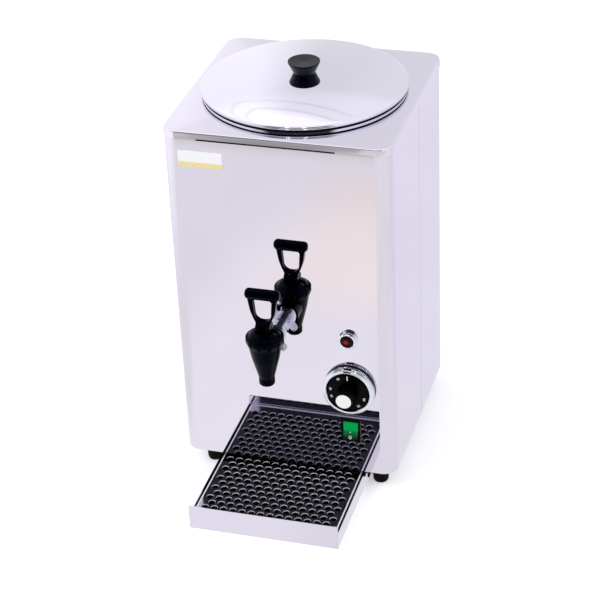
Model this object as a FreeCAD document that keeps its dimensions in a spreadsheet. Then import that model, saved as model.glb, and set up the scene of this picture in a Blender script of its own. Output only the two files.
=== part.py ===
import FreeCAD, Part
import Sketcher
import math
import os
import re

# Milk dispenser: a square steel casing on four rubber feet, with a water bath and a milk pot
# inside, a lift-off lid, a sprung tap, a thermostat dial, a pilot lamp, a rocker switch and a
# drip tray that slides under the casing. X is to the right, Y to the back, Z up, millimetres.
# The origin is under the middle of the whole object, on the surface that it stands on.

V = FreeCAD.Vector
doc = FreeCAD.newDocument("milk_dispenser")

# Driving dimensions

DIMENSIONS = {
    "body_width": 283.4,
    "body_depth": 280.4,
    "body_corner": 19.0,
    "casing_height": 464.3,
    "lift": 28.0,
    "wall": 1.0,
    "hem_width": 9.0,
    "seam_depth": 149.0,
    "seam_gap": 0.5,
    "seam_lap": 10.0,
    "lid_overhang": 1.3,
    "top_corner": 20.0,
    "rim_height": 10.0,
    "fit_gap": 0.3,
    "base_thick": 1.5,
    "base_lip": 12.0,
    "vent_side_left": 45.7,
    "vent_side_right": 65.7,
    "vent_high": 2.4,
    "vent_behind": 4.0,
    # Pot and water bath
    "pot_x": -2.0,
    "pot_back": 6.5,
    "pot_room": 27.2,
    "pot_wall": 1.0,
    "pot_sump": 16.0,
    "flange_width": 14.5,
    "flange_thick": 1.5,
    "opening_play": 1.5,
    "bath_gap": 9.0,
    "bath_under": 24.0,
    "bath_wall": 1.2,
    "bath_flange": 8.0,
    "jacket_thick": 7.0,
    # Lid and its knob
    "lid_over": 1.7,
    "lid_skirt": 6.8,
    "lid_wall": 1.0,
    "lid_hem": 3.5,
    "lid_shoulder": 2.0,
    "lid_rise": 22.0,
    "knob_top_radius": 20.0,
    "knob_waist_radius": 13.6,
    "knob_height": 14.8,
    "knob_dish": 0.8,
    "lid_screw_radius": 2.5,
    # Tap
    "tap_x": -3.0,
    "tap_reach": 61.0,
    "tap_height": 205.0,
    "spout_drop": 44.0,
    "spout_radius": 10.0,
    "spout_tip": 8.0,
    "cone_radius": 17.2,
    "cone_top": 6.0,
    "valve_radius": 20.9,
    "valve_top": 22.0,
    "chamber_radius": 15.5,
    "seat_below": 9.0,
    "outlet_radius": 6.5,
    "thread_radius": 18.0,
    "bonnet_radius": 23.6,
    "bonnet_low": 13.0,
    "bonnet_skirt": 12.0,
    "bonnet_neck": 12.0,
    "bonnet_top": 31.0,
    "bonnet_wall": 4.0,
    "lobe_count": 12,
    "lobe_high": 6.0,
    "lobe_radius": 3.2,
    "boss_radius": 15.0,
    "boss_length": 30.0,
    "shank_radius": 8.0,
    "shank_bore": 4.5,
    "thread_play": 0.15,
    "wing_hub_radius": 13.3,
    "wing_hub_length": 13.0,
    "wing_gap": 17.0,
    "wing_reach": 21.5,
    "wing_rise": 1.5,
    "wing_width": 10.0,
    "wing_round": 4.0,
    "wing_thick": 4.0,
    "wing_turn": 130.0,
    "washer_radius": 11.5,
    "washer_thick": 1.5,
    "nut_radius": 13.0,
    "nut_thick": 6.0,
    # Tap lever and valve stem
    "lever_thick": 9.0,
    "bar_radius": 6.9,
    "bar_length": 44.0,
    "bar_rise": 82.6,
    "bar_end_round": 5.0,
    "arm_top": 36.6,
    "arm_knee": 31.4,
    "arm_waist": 24.8,
    "arm_foot": 18.4,
    "knee_high": 60.5,
    "waist_high": 51.0,
    "eye_top": 24.0,
    "eye_foot": 19.6,
    "eye_low": 46.6,
    "eye_high": 76.2,
    "eye_foot_round": 9.2,
    "eye_top_round": 3.0,
    "arm_root": 6.0,
    "arm_flare": 0.8,
    "arm_edge": 1.4,
    "cam_depth": 16.0,
    "cam_round": 4.0,
    "cam_high": 9.0,
    "neck_high": 43.0,
    "slot_width": 8.0,
    "slot_high": 13.0,
    "pin_radius": 1.6,
    "pin_rise": 7.0,
    "pivot_play": 0.05,
    "stem_radius": 3.0,
    "guide_play": 0.4,
    "cup_radius": 10.5,
    "cup_thick": 5.0,
    "spring_radius": 6.5,
    "spring_wire": 1.2,
    # Controls in the front panel
    "control_side": 56.7,
    "dial_height": 126.0,
    "lamp_height": 198.9,
    "switch_height": 62.2,
    "bezel_radius": 33.5,
    "bezel_front_radius": 32.0,
    "bezel_reach": 11.0,
    "bezel_inner": 26.8,
    "dial_radius": 26.0,
    "dial_skirt": 6.0,
    "dial_clear": 4.7,
    "grip_radius": 13.5,
    "grip_top_radius": 10.3,
    "grip_reach": 20.0,
    "cap_radius": 9.8,
    "cap_thick": 1.2,
    "shaft_radius": 3.0,
    "shaft_hole": 5.0,
    "shaft_reach": 17.0,
    "control_box": 44.0,
    "control_box_depth": 32.0,
    "bulb_radius": 3.0,
    "bulb_length": 110.0,
    "bulb_below": 12.0,
    "bulb_nut_radius": 5.5,
    "lamp_radius": 12.0,
    "lamp_reach": 6.8,
    "lamp_barrel": 10.6,
    "lamp_flange": 1.5,
    "lens_radius": 8.7,
    "lamp_neck_radius": 6.5,
    "lamp_length": 30.0,
    "switch_wide": 25.0,
    "switch_tall": 32.0,
    "switch_lip": 2.0,
    "cutout_wide": 22.0,
    "cutout_tall": 30.0,
    "switch_body_depth": 24.0,
    "rocker_wide": 18.6,
    "rocker_tall": 25.0,
    "rocker_deep": 9.0,
    "rocker_tilt": 10.0,
    "rocker_rise": 1.4,
    "rocker_inset": 1.2,
    "well_depth": 11.0,
    "rocker_play": 0.6,
    "rocker_pin_radius": 1.5,
    "label_wide": 56.0,
    "label_tall": 22.0,
    "label_thick": 0.5,
    "label_left": 21.0,
    "label_drop": 35.3,
    # Heater and wiring pieces
    "heater_radius": 80.0,
    "heater_tube": 4.0,
    "heater_clear": 6.0,
    "heater_spread": 22.0,
    "heater_leg": 30.0,
    "heater_nut_radius": 9.0,
    "cutout_radius": 8.0,
    "cutout_tall_disc": 11.0,
    "terminal_long": 48.0,
    "terminal_wide": 20.0,
    "terminal_high": 17.0,
    "gland_side": 61.7,
    "gland_height": 42.0,
    "gland_radius": 8.0,
    "gland_bore": 4.0,
    "gland_bore_long": 15.0,
    "gland_throat": 5.5,
    "gland_hex_radius": 12.0,
    "gland_reach": 16.0,
    "gland_inside": 10.0,
    # Feet, guides and drip tray
    "foot_radius": 11.5,
    "foot_tip_radius": 10.0,
    "foot_round": 3.0,
    "foot_web": 6.0,
    "foot_side": 28.7,
    "foot_inset": 26.5,
    "foot_screw_radius": 2.5,
    "screw_head_radius": 4.6,
    "screw_head_high": 2.6,
    "tray_x": 3.0,
    "tray_side": 45.2,
    "tray_long": 205.0,
    "tray_reach": 128.0,
    "tray_wall": 1.0,
    "tray_wall_high": 22.0,
    "tray_plate_high": 34.0,
    "tray_plate_over": 0.7,
    "tray_round": 2.5,
    "grid_play": 2.2,
    "grid_top": 21.0,
    "grid_thick": 1.0,
    "grid_pitch": 12.25,
    "grid_hole_radius": 4.6,
    "grid_first_row": 20.0,
    "grid_margin": 3.0,
    "guide_thick": 2.5,
    "guide_high": 19.0,
    "guide_gap": 0.8,
    "guide_short": 90.4,
    "rail_inset": 2.0,
    "rail_deep": 12.0,
    "rail_high": 2.4,
}

sizes = doc.addObject("Spreadsheet::Sheet", "sizes")
for row, (alias, value) in enumerate(DIMENSIONS.items(), start=1):
    sizes.set("A%d" % row, alias)
    sizes.set("B%d" % row, str(value))
    sizes.setAlias("B%d" % row, alias)
doc.recompute()

# Sizes that follow from the driving ones

DERIVED = {
    "pot_radius": "min(body_width; body_depth) / 2 - pot_room",
    "flange_radius": "pot_radius + flange_width",
    "lid_radius": "flange_radius + lid_over",
    "control_x": "body_width / 2 - control_side",
    "gland_x": "body_width / 2 - gland_side",
    "foot_spread": "body_width / 2 - foot_side",
    "tray_wide": "body_width - 2 * tray_side",
    "tray_plate_wide": "tray_wide + 2 * tray_plate_over",
    "guide_long": "body_depth - guide_short",
    "vent_left": "body_width / 2 - vent_side_left",
    "vent_right": "body_width / 2 - vent_side_right",
    "label_height": "casing_height - label_drop",
    "grid_wide": "tray_wide - 2 * tray_wall - 2 * grid_play",
    "grid_long": "tray_long - 3 * tray_wall - 2 * fit_gap",
    "hole_edge": "grid_margin + grid_hole_radius",
    "row_step": "grid_pitch * sqrt(3) / 2",
    "first_hole": "grid_first_row - 2 * tray_wall - fit_gap",
    "grid_columns": "floor((grid_wide - 2 * hole_edge - grid_pitch / 2) / grid_pitch) + 1",
    "grid_row_pairs": "floor((grid_long - first_hole - row_step - hole_edge) / (2 * row_step)) + 1",
}

WORDS = re.compile(r"[a-z_]+")


def bound(text):
    """The same formula with each alias written as a cell of the sheet and each derived size worked out."""
    def written(match):
        word = match.group(0)
        if word in DERIVED:
            return "(" + bound(DERIVED[word]) + ")"
        return "sizes." + word if word in DIMENSIONS else word

    return WORDS.sub(written, str(text))


def value(text):
    """The number that a formula of aliases gives now."""
    return float(doc.sizes.evalExpression(bound(text)))


# Places that several pieces share, as formulas of the driving dimensions

MID_Y = "((tray_reach - gland_reach) / 2)"
FRONT_Y = "(%s - body_depth / 2)" % MID_Y
BACK_Y = "(%s + body_depth / 2)" % MID_Y
TOP_Z = "(lift + casing_height)"
POT_Y = "(%s + pot_back)" % MID_Y
TAP_Y = "(%s - tap_reach)" % FRONT_Y
TAP_Z = "(lift + tap_height)"
POT_FLOOR = "(%s - pot_sump)" % TAP_Z
BATH_FLOOR = "(%s - bath_under)" % POT_FLOOR
BATH_RADIUS = "(pot_radius + pot_wall + bath_gap)"
TRAY_FRONT = "(%s - tray_reach)" % FRONT_Y

FACE_FRONT = FreeCAD.Rotation(V(1, 0, 0), 90)
FACE_BACK = FreeCAD.Rotation(V(1, 0, 0), -90)
FACE_RIGHT = FreeCAD.Rotation(V(0, 1, 0), 90)
UPRIGHT = FreeCAD.Rotation()

nodes = []


def place(obj, x=0, y=0, z=0, turn=UPRIGHT):
    """Puts an object at a formula for each coordinate."""
    obj.Placement = FreeCAD.Placement(V(0, 0, 0), turn)
    for axis, text in (("x", x), ("y", y), ("z", z)):
        obj.setExpression("Placement.Base." + axis, bound(text))
    return obj


def box(name, wide, deep, high, x=0, y=0, z=0):
    """A block whose near left bottom corner is at x, y, z."""
    obj = doc.addObject("Part::Box", name)
    obj.setExpression("Length", bound(wide))
    obj.setExpression("Width", bound(deep))
    obj.setExpression("Height", bound(high))
    return place(obj, x, y, z)


def cylinder(name, radius, length, x=0, y=0, z=0, turn=UPRIGHT):
    obj = doc.addObject("Part::Cylinder", name)
    obj.setExpression("Radius", bound(radius))
    obj.setExpression("Height", bound(length))
    return place(obj, x, y, z, turn)


def joined(name, *pieces):
    obj = doc.addObject("Part::MultiFuse", name)
    obj.Shapes = list(pieces)
    return obj


def cut(name, base, *tools):
    obj = doc.addObject("Part::Cut", name)
    obj.Base = base
    obj.Tool = tools[0] if len(tools) == 1 else joined(name + "_cutters", *tools)
    return obj


def common(name, first, second):
    obj = doc.addObject("Part::MultiCommon", name)
    obj.Shapes = [first, second]
    return obj


def node(obj, label):
    """Marks the finished object of a sub-part."""
    obj.Label = label
    nodes.append(obj)
    return obj


def plane(body, role):
    return [o for o in body.Origin.OriginFeatures if o.Role == role][0]


def sketch_on(body, name, role="XY_Plane"):
    sketch = body.newObject("Sketcher::SketchObject", name)
    sketch.AttachmentSupport = (plane(body, role), "")
    sketch.MapMode = "FlatFace"
    return sketch


def fix_point(sketch, geometry, end, x, y):
    """Holds one end of an edge at a formula for each coordinate, from the sketch's origin."""
    for kind, text in (("DistanceX", x), ("DistanceY", y)):
        here = value(text)
        index = sketch.addConstraint(Sketcher.Constraint(kind, -1, 1, geometry, end, here))
        sketch.setExpression("Constraints[%d]" % index, bound(text))


def outline(body, name, points, role="XY_Plane"):
    """A closed outline of straight edges through points given as pairs of formulas."""
    sketch = sketch_on(body, name, role)
    corners = [V(value(x), value(y), 0) for x, y in points]
    count = len(corners)
    for i in range(count):
        sketch.addGeometry(Part.LineSegment(corners[i], corners[(i + 1) % count]))
    for i in range(count):
        sketch.addConstraint(Sketcher.Constraint("Coincident", i, 2, (i + 1) % count, 1))
    for i, (x, y) in enumerate(points):
        fix_point(sketch, i, 1, x, y)
    return sketch


def circles(body, name, spots, radius, role="XY_Plane"):
    """A sketch of equal circles at pairs of formulas."""
    sketch = sketch_on(body, name, role)
    for x, y in spots:
        index = sketch.addGeometry(Part.Circle(V(value(x), value(y), 0), V(0, 0, 1), value(radius)))
        fix_point(sketch, index, 3, x, y)
        held = sketch.addConstraint(Sketcher.Constraint("Radius", index, value(radius)))
        sketch.setExpression("Constraints[%d]" % held, bound(radius))
    return sketch


def new_body(name):
    return doc.addObject("PartDesign::Body", name)


def pad(body, sketch, length, midplane=False):
    feature = body.newObject("PartDesign::Pad", sketch.Name + "_pad")
    feature.Profile = sketch
    feature.SideType = "Symmetric" if midplane else "One side"
    feature.setExpression("Length", bound(length))
    return feature


def pocket(body, sketch, length):
    """Cuts to equal depth on both sides of the sketch's plane."""
    feature = body.newObject("PartDesign::Pocket", sketch.Name + "_pocket")
    feature.Profile = sketch
    feature.SideType = "Symmetric"
    feature.setExpression("Length", bound(length))
    return feature


def turned(name, points):
    """A body turned about Z from an outline of radius and height formulas."""
    body = new_body(name)
    sketch = outline(body, name + "_profile", points, "XZ_Plane")
    feature = body.newObject("PartDesign::Revolution", name + "_turn")
    feature.Profile = sketch
    feature.ReferenceAxis = (sketch, ["V_Axis"])
    feature.Angle = 360
    return body


def rounded(body, pick, radius, name):
    """Rounds the edges of the body's tip that pick says yes to."""
    doc.recompute()
    tip = body.Tip
    edges = ["Edge%d" % i for i, edge in enumerate(tip.Shape.Edges, start=1) if pick(edge)]
    if not edges:
        raise RuntimeError("no edge to round for " + name)
    feature = body.newObject("PartDesign::Fillet", name)
    feature.Base = (tip, edges)
    feature.setExpression("Radius", bound(radius))
    body.Tip = feature
    return feature


def runs_along(edge, axis):
    if not isinstance(edge.Curve, (Part.Line, Part.LineSegment)):
        return False
    a, b = edge.Vertexes[0].Point, edge.Vertexes[-1].Point
    way = (b - a).normalize()
    return abs(abs(way.dot(axis)) - 1) < 1e-6


def slab(name, wide, deep, high, corner, x=0, y=0, z=0):
    """An upright block with rounded vertical corners, centred on x, y and standing at z."""
    body = new_body(name)
    half_x, half_y = "(%s) / 2" % wide, "(%s) / 2" % deep
    around = [("-" + half_x, "-" + half_y), (half_x, "-" + half_y), (half_x, half_y), ("-" + half_x, half_y)]
    pad(body, outline(body, name + "_outline", around), high)
    rounded(body, lambda e: runs_along(e, V(0, 0, 1)), corner, name + "_corners")
    return place(body, x, y, z)


# Casing: one folded tube of sheet, parted at the side seams into a front and a rear shell

casing_outer = slab("casing_outer", "body_width", "body_depth", "casing_height - wall", "body_corner",
                    0, MID_Y, "lift")
casing_inner = slab("casing_inner", "body_width - 2 * wall", "body_depth - 2 * wall", "casing_height",
                    "body_corner - wall", 0, MID_Y, "lift + wall")
casing_mouth = slab("casing_mouth", "body_width - 2 * hem_width", "body_depth - 2 * hem_width", "wall * 4",
                    "body_corner - wall", 0, MID_Y, "lift - wall")
casing = cut("casing", casing_outer, casing_inner, casing_mouth)

front_half = box("front_half", "body_width + 20", "seam_depth + 10", "casing_height + 20",
                 "-body_width / 2 - 10", FRONT_Y + " - 10", "lift - 10")
front_blank = common("front_blank", casing, front_half)
shank_hole = cylinder("shank_hole", "shank_radius + fit_gap", "wall * 6", "tap_x", FRONT_Y + " + 3 * wall",
                      TAP_Z, FACE_FRONT)
shaft_hole = cylinder("shaft_bore", "shaft_hole", "wall * 6", "control_x", FRONT_Y + " + 3 * wall",
                      "lift + dial_height", FACE_FRONT)
lamp_hole = cylinder("lamp_hole", "lamp_neck_radius + fit_gap", "wall * 6", "control_x",
                     FRONT_Y + " + 3 * wall", "lift + lamp_height", FACE_FRONT)
switch_hole = box("switch_hole", "cutout_wide + 2 * fit_gap", "wall * 6", "cutout_tall + 2 * fit_gap",
                  "control_x - cutout_wide / 2 - fit_gap", FRONT_Y + " - 3 * wall",
                  "lift + switch_height - cutout_tall / 2 - fit_gap")
vent_slot = box("vent_slot", "vent_left + vent_right", "wall * 6", "vent_behind + fit_gap", "-vent_left",
                FRONT_Y + " - 3 * wall", TOP_Z + " - rim_height - fit_gap")
node(cut("front_shell", front_blank, shank_hole, shaft_hole, lamp_hole, switch_hole, vent_slot), "front_shell")

rear_half = box("rear_half", "body_width + 20", "body_depth - seam_depth + 10", "casing_height + 20",
                "-body_width / 2 - 10", FRONT_Y + " + seam_depth + seam_gap", "lift - 10")
rear_blank = common("rear_blank", casing, rear_half)
gland_hole = cylinder("gland_hole", "gland_radius + fit_gap", "wall * 6", "gland_x", BACK_Y + " + 3 * wall",
                      "lift + gland_height", FACE_FRONT)
node(cut("rear_shell", rear_blank, gland_hole), "rear_shell")


def seam_strip(label, side):
    """A strip behind each side seam that the two shells are spot-welded to."""
    x = "body_width / 2 - 2 * wall" if side > 0 else "-body_width / 2 + wall"
    strip = box(label, "wall", "2 * seam_lap", "casing_height - rim_height - 2 * hem_width", x,
                FRONT_Y + " + seam_depth - seam_lap", "lift + hem_width + base_lip")
    node(strip, label)


seam_strip("seam_strip_left", -1)
seam_strip("seam_strip_right", 1)

# Base plate: a shallow pan that stands on the shells' hem

base_outer = slab("base_outer", "body_width - 2 * wall - 2 * fit_gap", "body_depth - 2 * wall - 2 * fit_gap",
                  "base_lip", "body_corner - wall - fit_gap", 0, MID_Y, "lift + wall")
base_inner = slab("base_inner", "body_width - 2 * wall - 2 * fit_gap - 2 * base_thick",
                  "body_depth - 2 * wall - 2 * fit_gap - 2 * base_thick", "base_lip",
                  "body_corner - wall - fit_gap - base_thick", 0, MID_Y, "lift + wall + base_thick")
FOOT_SPOTS = {
    "front_left": ("tray_x - foot_spread", FRONT_Y + " + foot_inset"),
    "front_right": ("tray_x + foot_spread", FRONT_Y + " + foot_inset"),
    "rear_left": ("tray_x - foot_spread", BACK_Y + " - foot_inset"),
    "rear_right": ("tray_x + foot_spread", BACK_Y + " - foot_inset"),
}
foot_bores = [
    cylinder("bore_" + name, "foot_screw_radius", "base_thick * 6", x, y, "lift + wall - base_thick * 2")
    for name, (x, y) in FOOT_SPOTS.items()
]
node(cut("base_plate", base_outer, base_inner, *foot_bores), "base_plate")

# Top plate: a pressed cover with a turned-down rim and a round opening for the pot

top_outer = slab("top_outer", "body_width + 2 * lid_overhang", "body_depth + 2 * lid_overhang", "rim_height",
                 "top_corner", 0, MID_Y, TOP_Z + " - rim_height")
top_inner = slab("top_inner", "body_width + 2 * lid_overhang - 2 * wall",
                 "body_depth + 2 * lid_overhang - 2 * wall", "rim_height", "top_corner - wall", 0, MID_Y,
                 TOP_Z + " - rim_height - wall")
top_opening = cylinder("top_opening", "pot_radius + pot_wall + opening_play", "wall * 4", "pot_x", POT_Y,
                       TOP_Z + " - 2 * wall")
vent_notch = box("vent_notch", "vent_left + vent_right", "wall * 6", "vent_high * 2", "-vent_left",
                 FRONT_Y + " - lid_overhang - 3 * wall", TOP_Z + " - rim_height - vent_high")
node(cut("top_plate", top_outer, top_inner, top_opening, vent_notch), "top_plate")

# Water bath: a tank that hangs from the top plate, wrapped in a felt jacket

bath_profile = [
    ("0", "0"),
    ("%s + bath_wall" % BATH_RADIUS, "0"),
    ("%s + bath_wall" % BATH_RADIUS, "{top} - bath_wall"),
    ("%s + bath_wall + bath_flange" % BATH_RADIUS, "{top} - bath_wall"),
    ("%s + bath_wall + bath_flange" % BATH_RADIUS, "{top}"),
    (BATH_RADIUS, "{top}"),
    (BATH_RADIUS, "bath_wall"),
    ("0", "bath_wall"),
]
BATH_TOP = "(casing_height - wall - tap_height + pot_sump + bath_under)"
bath_blank = place(turned("bath_blank", [(r, z.replace("{top}", BATH_TOP)) for r, z in bath_profile]),
                   "pot_x", POT_Y, BATH_FLOOR)
bath_shank_hole = cylinder("bath_shank_hole", "shank_radius + thread_play", BATH_RADIUS + " + 3 * bath_wall",
                           "tap_x", POT_Y, TAP_Z, FACE_FRONT)
leg_holes = [
    cylinder("leg_hole_%d" % i, "heater_tube + thread_play", "bath_wall * 4",
             "pot_x + %s * heater_spread / 2" % sign, POT_Y + " + heater_radius", BATH_FLOOR + " - bath_wall")
    for i, sign in enumerate(("-1", "1"))
]
BULB_X = "(pot_x + (pot_radius + pot_wall + bath_gap / 2) / sqrt(2))"
BULB_Y = "(%s - (pot_radius + pot_wall + bath_gap / 2) / sqrt(2))" % POT_Y
bulb_hole = cylinder("bulb_hole", "bulb_radius + thread_play", "bath_wall * 4", BULB_X, BULB_Y,
                     BATH_FLOOR + " - bath_wall")
node(cut("water_bath", bath_blank, bath_shank_hole, bulb_hole, *leg_holes), "water_bath")

jacket_blank = cylinder("jacket_blank", BATH_RADIUS + " + bath_wall + jacket_thick",
                        BATH_TOP + " - bath_wall - 2 * fit_gap", "pot_x", POT_Y, BATH_FLOOR + " + fit_gap")
jacket_bore = cylinder("jacket_bore", BATH_RADIUS + " + bath_wall + fit_gap", BATH_TOP + " * 2", "pot_x",
                       POT_Y, BATH_FLOOR + " - " + BATH_TOP + " / 2")
jacket_notch = cylinder("jacket_notch", "washer_radius + fit_gap", "body_depth", "tap_x", POT_Y, TAP_Z,
                        FACE_FRONT)
node(cut("felt_jacket", jacket_blank, jacket_bore, jacket_notch), "felt_jacket")

# Milk pot: a cup welded from a wall, a floor and a flange, which hangs by the flange from the top plate

POT_TOP = "(casing_height - tap_height + pot_sump)"
pot_tube = cylinder("pot_tube", "pot_radius + pot_wall", POT_TOP + " + flange_thick + pot_wall", "pot_x", POT_Y,
                    POT_FLOOR + " - pot_wall")
pot_space = cylinder("pot_space", "pot_radius", POT_TOP + " * 2", "pot_x", POT_Y, POT_FLOOR + " - 2 * pot_wall")
pot_shank_hole = cylinder("pot_shank_hole", "shank_radius + thread_play", "pot_radius + 3 * pot_wall", "tap_x",
                          POT_Y, TAP_Z, FACE_FRONT)
node(cut("milk_pot", pot_tube, pot_space, pot_shank_hole), "milk_pot")
node(cylinder("pot_floor", "pot_radius", "pot_wall", "pot_x", POT_Y, POT_FLOOR + " - pot_wall"), "pot_floor")
flange_disc = cylinder("flange_disc", "flange_radius", "flange_thick", "pot_x", POT_Y, TOP_Z)
flange_hole = cylinder("flange_hole", "pot_radius + pot_wall", "flange_thick * 4", "pot_x", POT_Y,
                       TOP_Z + " - flange_thick")
node(cut("pot_flange", flange_disc, flange_hole), "pot_flange")

# Lid: a domed disc with a skirt that is hemmed inwards and rests on the pot's flange

LID_Z = "(%s + flange_thick)" % TOP_Z
DOME_EDGE = "lid_radius - lid_shoulder"


def dome_lid():
    body = new_body("lid_shell")
    sketch = sketch_on(body, "lid_profile", "XZ_Plane")
    top_rise = "lid_rise - flange_thick"
    points = [
        ("lid_screw_radius", top_rise),
        (DOME_EDGE, "lid_skirt"),
        ("lid_radius", "lid_skirt - lid_shoulder"),
        ("lid_radius", "0"),
        ("lid_radius - lid_hem", "0"),
        ("lid_radius - lid_hem", "lid_wall"),
        ("lid_radius - lid_wall", "lid_wall"),
        ("lid_radius - lid_wall", "lid_skirt - lid_shoulder - lid_wall / 2"),
        (DOME_EDGE + " - lid_wall / 2", "lid_skirt - lid_wall"),
        ("lid_screw_radius", top_rise + " - lid_wall"),
    ]
    corners = [V(value(x), value(y), 0) for x, y in points]
    rise = value(top_rise + " - lid_skirt")
    reach = value(DOME_EDGE)
    bend = (reach * reach + rise * rise) / (2 * rise)

    def arc(start, end, radius):
        middle = (start + end) * 0.5
        half = (end - start).Length / 2
        out = V(end.y - start.y, start.x - end.x, 0).normalize()
        if out.y < 0:
            out = out * -1
        return Part.Arc(start, middle + out * (radius - math.sqrt(radius * radius - half * half)), end)

    count = len(corners)
    for i in range(count):
        a, b = corners[i], corners[(i + 1) % count]
        if i == 0:
            sketch.addGeometry(arc(a, b, bend))
        elif i == count - 2:
            sketch.addGeometry(arc(b, a, bend - value("lid_wall")))
        else:
            sketch.addGeometry(Part.LineSegment(a, b))
    # A three-point arc is stored anticlockwise, so its ends are looked up before they are joined
    def end_at(index, point):
        for end in (1, 2):
            if (sketch.getPoint(index, end) - point).Length < 1e-4:
                return end
        raise RuntimeError("lid profile is open")

    for i in range(count):
        here = corners[(i + 1) % count]
        after = (i + 1) % count
        sketch.addConstraint(Sketcher.Constraint("Coincident", i, end_at(i, here), after, end_at(after, here)))
    for i, (x, y) in enumerate(points):
        fix_point(sketch, i, end_at(i, corners[i]), x, y)
    reach_text = "(%s)" % DOME_EDGE
    rise_text = "(%s - lid_skirt)" % top_rise
    bend_text = "(%s * %s + %s * %s) / (2 * %s)" % (reach_text, reach_text, rise_text, rise_text, rise_text)
    for index, text in ((0, bend_text), (count - 2, bend_text + " - lid_wall")):
        held = sketch.addConstraint(Sketcher.Constraint("Radius", index, value(text)))
        sketch.setExpression("Constraints[%d]" % held, bound(text))
    feature = body.newObject("PartDesign::Revolution", "lid_turn")
    feature.Profile = sketch
    feature.ReferenceAxis = (sketch, ["V_Axis"])
    feature.Angle = 360
    return body


node(place(dome_lid(), "pot_x", POT_Y, LID_Z), "lid")

KNOB_Z = "(%s + lid_rise)" % TOP_Z
knob = turned("knob", [
    ("lid_screw_radius", "0"),
    ("knob_waist_radius", "0"),
    ("knob_top_radius", "knob_height - 1.5"),
    ("knob_top_radius", "knob_height"),
    ("knob_top_radius - 1.5", "knob_height"),
    ("0", "knob_height - knob_dish"),
    ("0", "knob_height * 0.6"),
    ("lid_screw_radius", "knob_height * 0.6"),
])
node(place(knob, "pot_x", POT_Y, KNOB_Z), "lid_knob")

lid_screw = turned("lid_screw_turn", [
    ("0", "-lid_wall - screw_head_high"),
    ("screw_head_radius", "-lid_wall - screw_head_high"),
    ("screw_head_radius", "-lid_wall - 0.1"),
    ("lid_screw_radius", "-lid_wall - 0.1"),
    ("lid_screw_radius", "knob_height * 0.6"),
    ("0", "knob_height * 0.6"),
])
node(place(lid_screw, "pot_x", POT_Y, KNOB_Z), "lid_screw")

# Tap body: spout, cone, valve chamber and the boss that takes the shank

SPOUT_Z = "(0 - spout_drop)"
CONE_Z = "(0 - cone_top)"
SEAT_Z = "(0 - seat_below)"
tap_turned = turned("tap_turned", [
    ("outlet_radius", SPOUT_Z),
    ("spout_radius - 1", SPOUT_Z),
    ("spout_radius", SPOUT_Z + " + 1.5"),
    ("spout_radius", SPOUT_Z + " + spout_tip"),
    ("spout_radius - 0.6", SPOUT_Z + " + spout_tip + 0.6"),
    ("cone_radius", CONE_Z),
    ("valve_radius", "bonnet_low - fit_gap"),
    ("thread_radius", "bonnet_low - fit_gap"),
    ("thread_radius", "valve_top"),
    ("chamber_radius", "valve_top"),
    ("chamber_radius", SEAT_Z),
    ("outlet_radius", SEAT_Z),
])
place(tap_turned, "tap_x", TAP_Y, TAP_Z)
boss = cylinder("boss", "boss_radius", "boss_length", "tap_x", TAP_Y + " + boss_length", TAP_Z, FACE_FRONT)
boss_trim = cylinder("boss_trim", "chamber_radius", "valve_top + seat_below", "tap_x", TAP_Y,
                     TAP_Z + " + " + SEAT_Z)
boss_bore = cylinder("boss_bore", "shank_radius", "boss_length", "tap_x", TAP_Y + " + boss_length + 1",
                     TAP_Z, FACE_FRONT)
boss_relief = cylinder("boss_relief", "bonnet_radius + fit_gap", "boss_radius", "tap_x", TAP_Y,
                       TAP_Z + " + bonnet_low - fit_gap")
outlet_trim = cylinder("outlet_trim", "outlet_radius", "spout_drop", "tap_x", TAP_Y,
                       TAP_Z + " + " + SPOUT_Z)
boss_step = cut("boss_step", boss, boss_trim, boss_relief, outlet_trim)
node(cut("tap_body", joined("tap_joined", tap_turned, boss_step), boss_bore), "tap_body")

# Shank: the threaded tube from the tap through panel and bath into the pot

SHANK_FRONT = "(%s + chamber_radius)" % TAP_Y
SHANK_BACK = "(%s - sqrt(pot_radius ^ 2 - (tap_x - pot_x) ^ 2) + nut_thick + 4)" % POT_Y
shank_tube = cylinder("shank_tube", "shank_radius", "%s - %s" % (SHANK_BACK, SHANK_FRONT), "tap_x",
                      SHANK_BACK, TAP_Z, FACE_FRONT)
shank_bore = cylinder("shank_bore_cut", "shank_bore", "body_depth", "tap_x", SHANK_BACK + " + 1", TAP_Z,
                      FACE_FRONT)
node(cut("shank", shank_tube, shank_bore), "shank")


def ring(label, radius, hole, length, back, x="tap_x", z=TAP_Z):
    """A washer or round nut about an axis along Y, from back towards the front."""
    outer = cylinder(label + "_disc", radius, length, x, back, z, FACE_FRONT)
    inner = cylinder(label + "_hole", hole, "(%s) * 3" % length, x, "%s + (%s)" % (back, length), z, FACE_FRONT)
    return node(cut(label, outer, inner), label)


def hex_nut(label, radius, hole, length, back, x="tap_x", z=TAP_Z):
    """A six-sided nut about an axis along Y, from back towards the front."""
    body = new_body(label + "_blank")
    corners = [
        ("(%s) * %s" % (radius, corner_x), "(%s) * %s" % (radius, corner_y))
        for corner_x, corner_y in (("1", "0"), ("0.5", "0.8660254"), ("-0.5", "0.8660254"), ("-1", "0"),
                                   ("-0.5", "-0.8660254"), ("0.5", "-0.8660254"))
    ]
    pad(body, outline(body, label + "_outline", corners), length)
    place(body, x, back, z, FACE_FRONT)
    inner = cylinder(label + "_hole", hole, "(%s) * 3" % length, x, "%s + (%s)" % (back, length), z, FACE_FRONT)
    return node(cut(label, body, inner), label)


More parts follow.
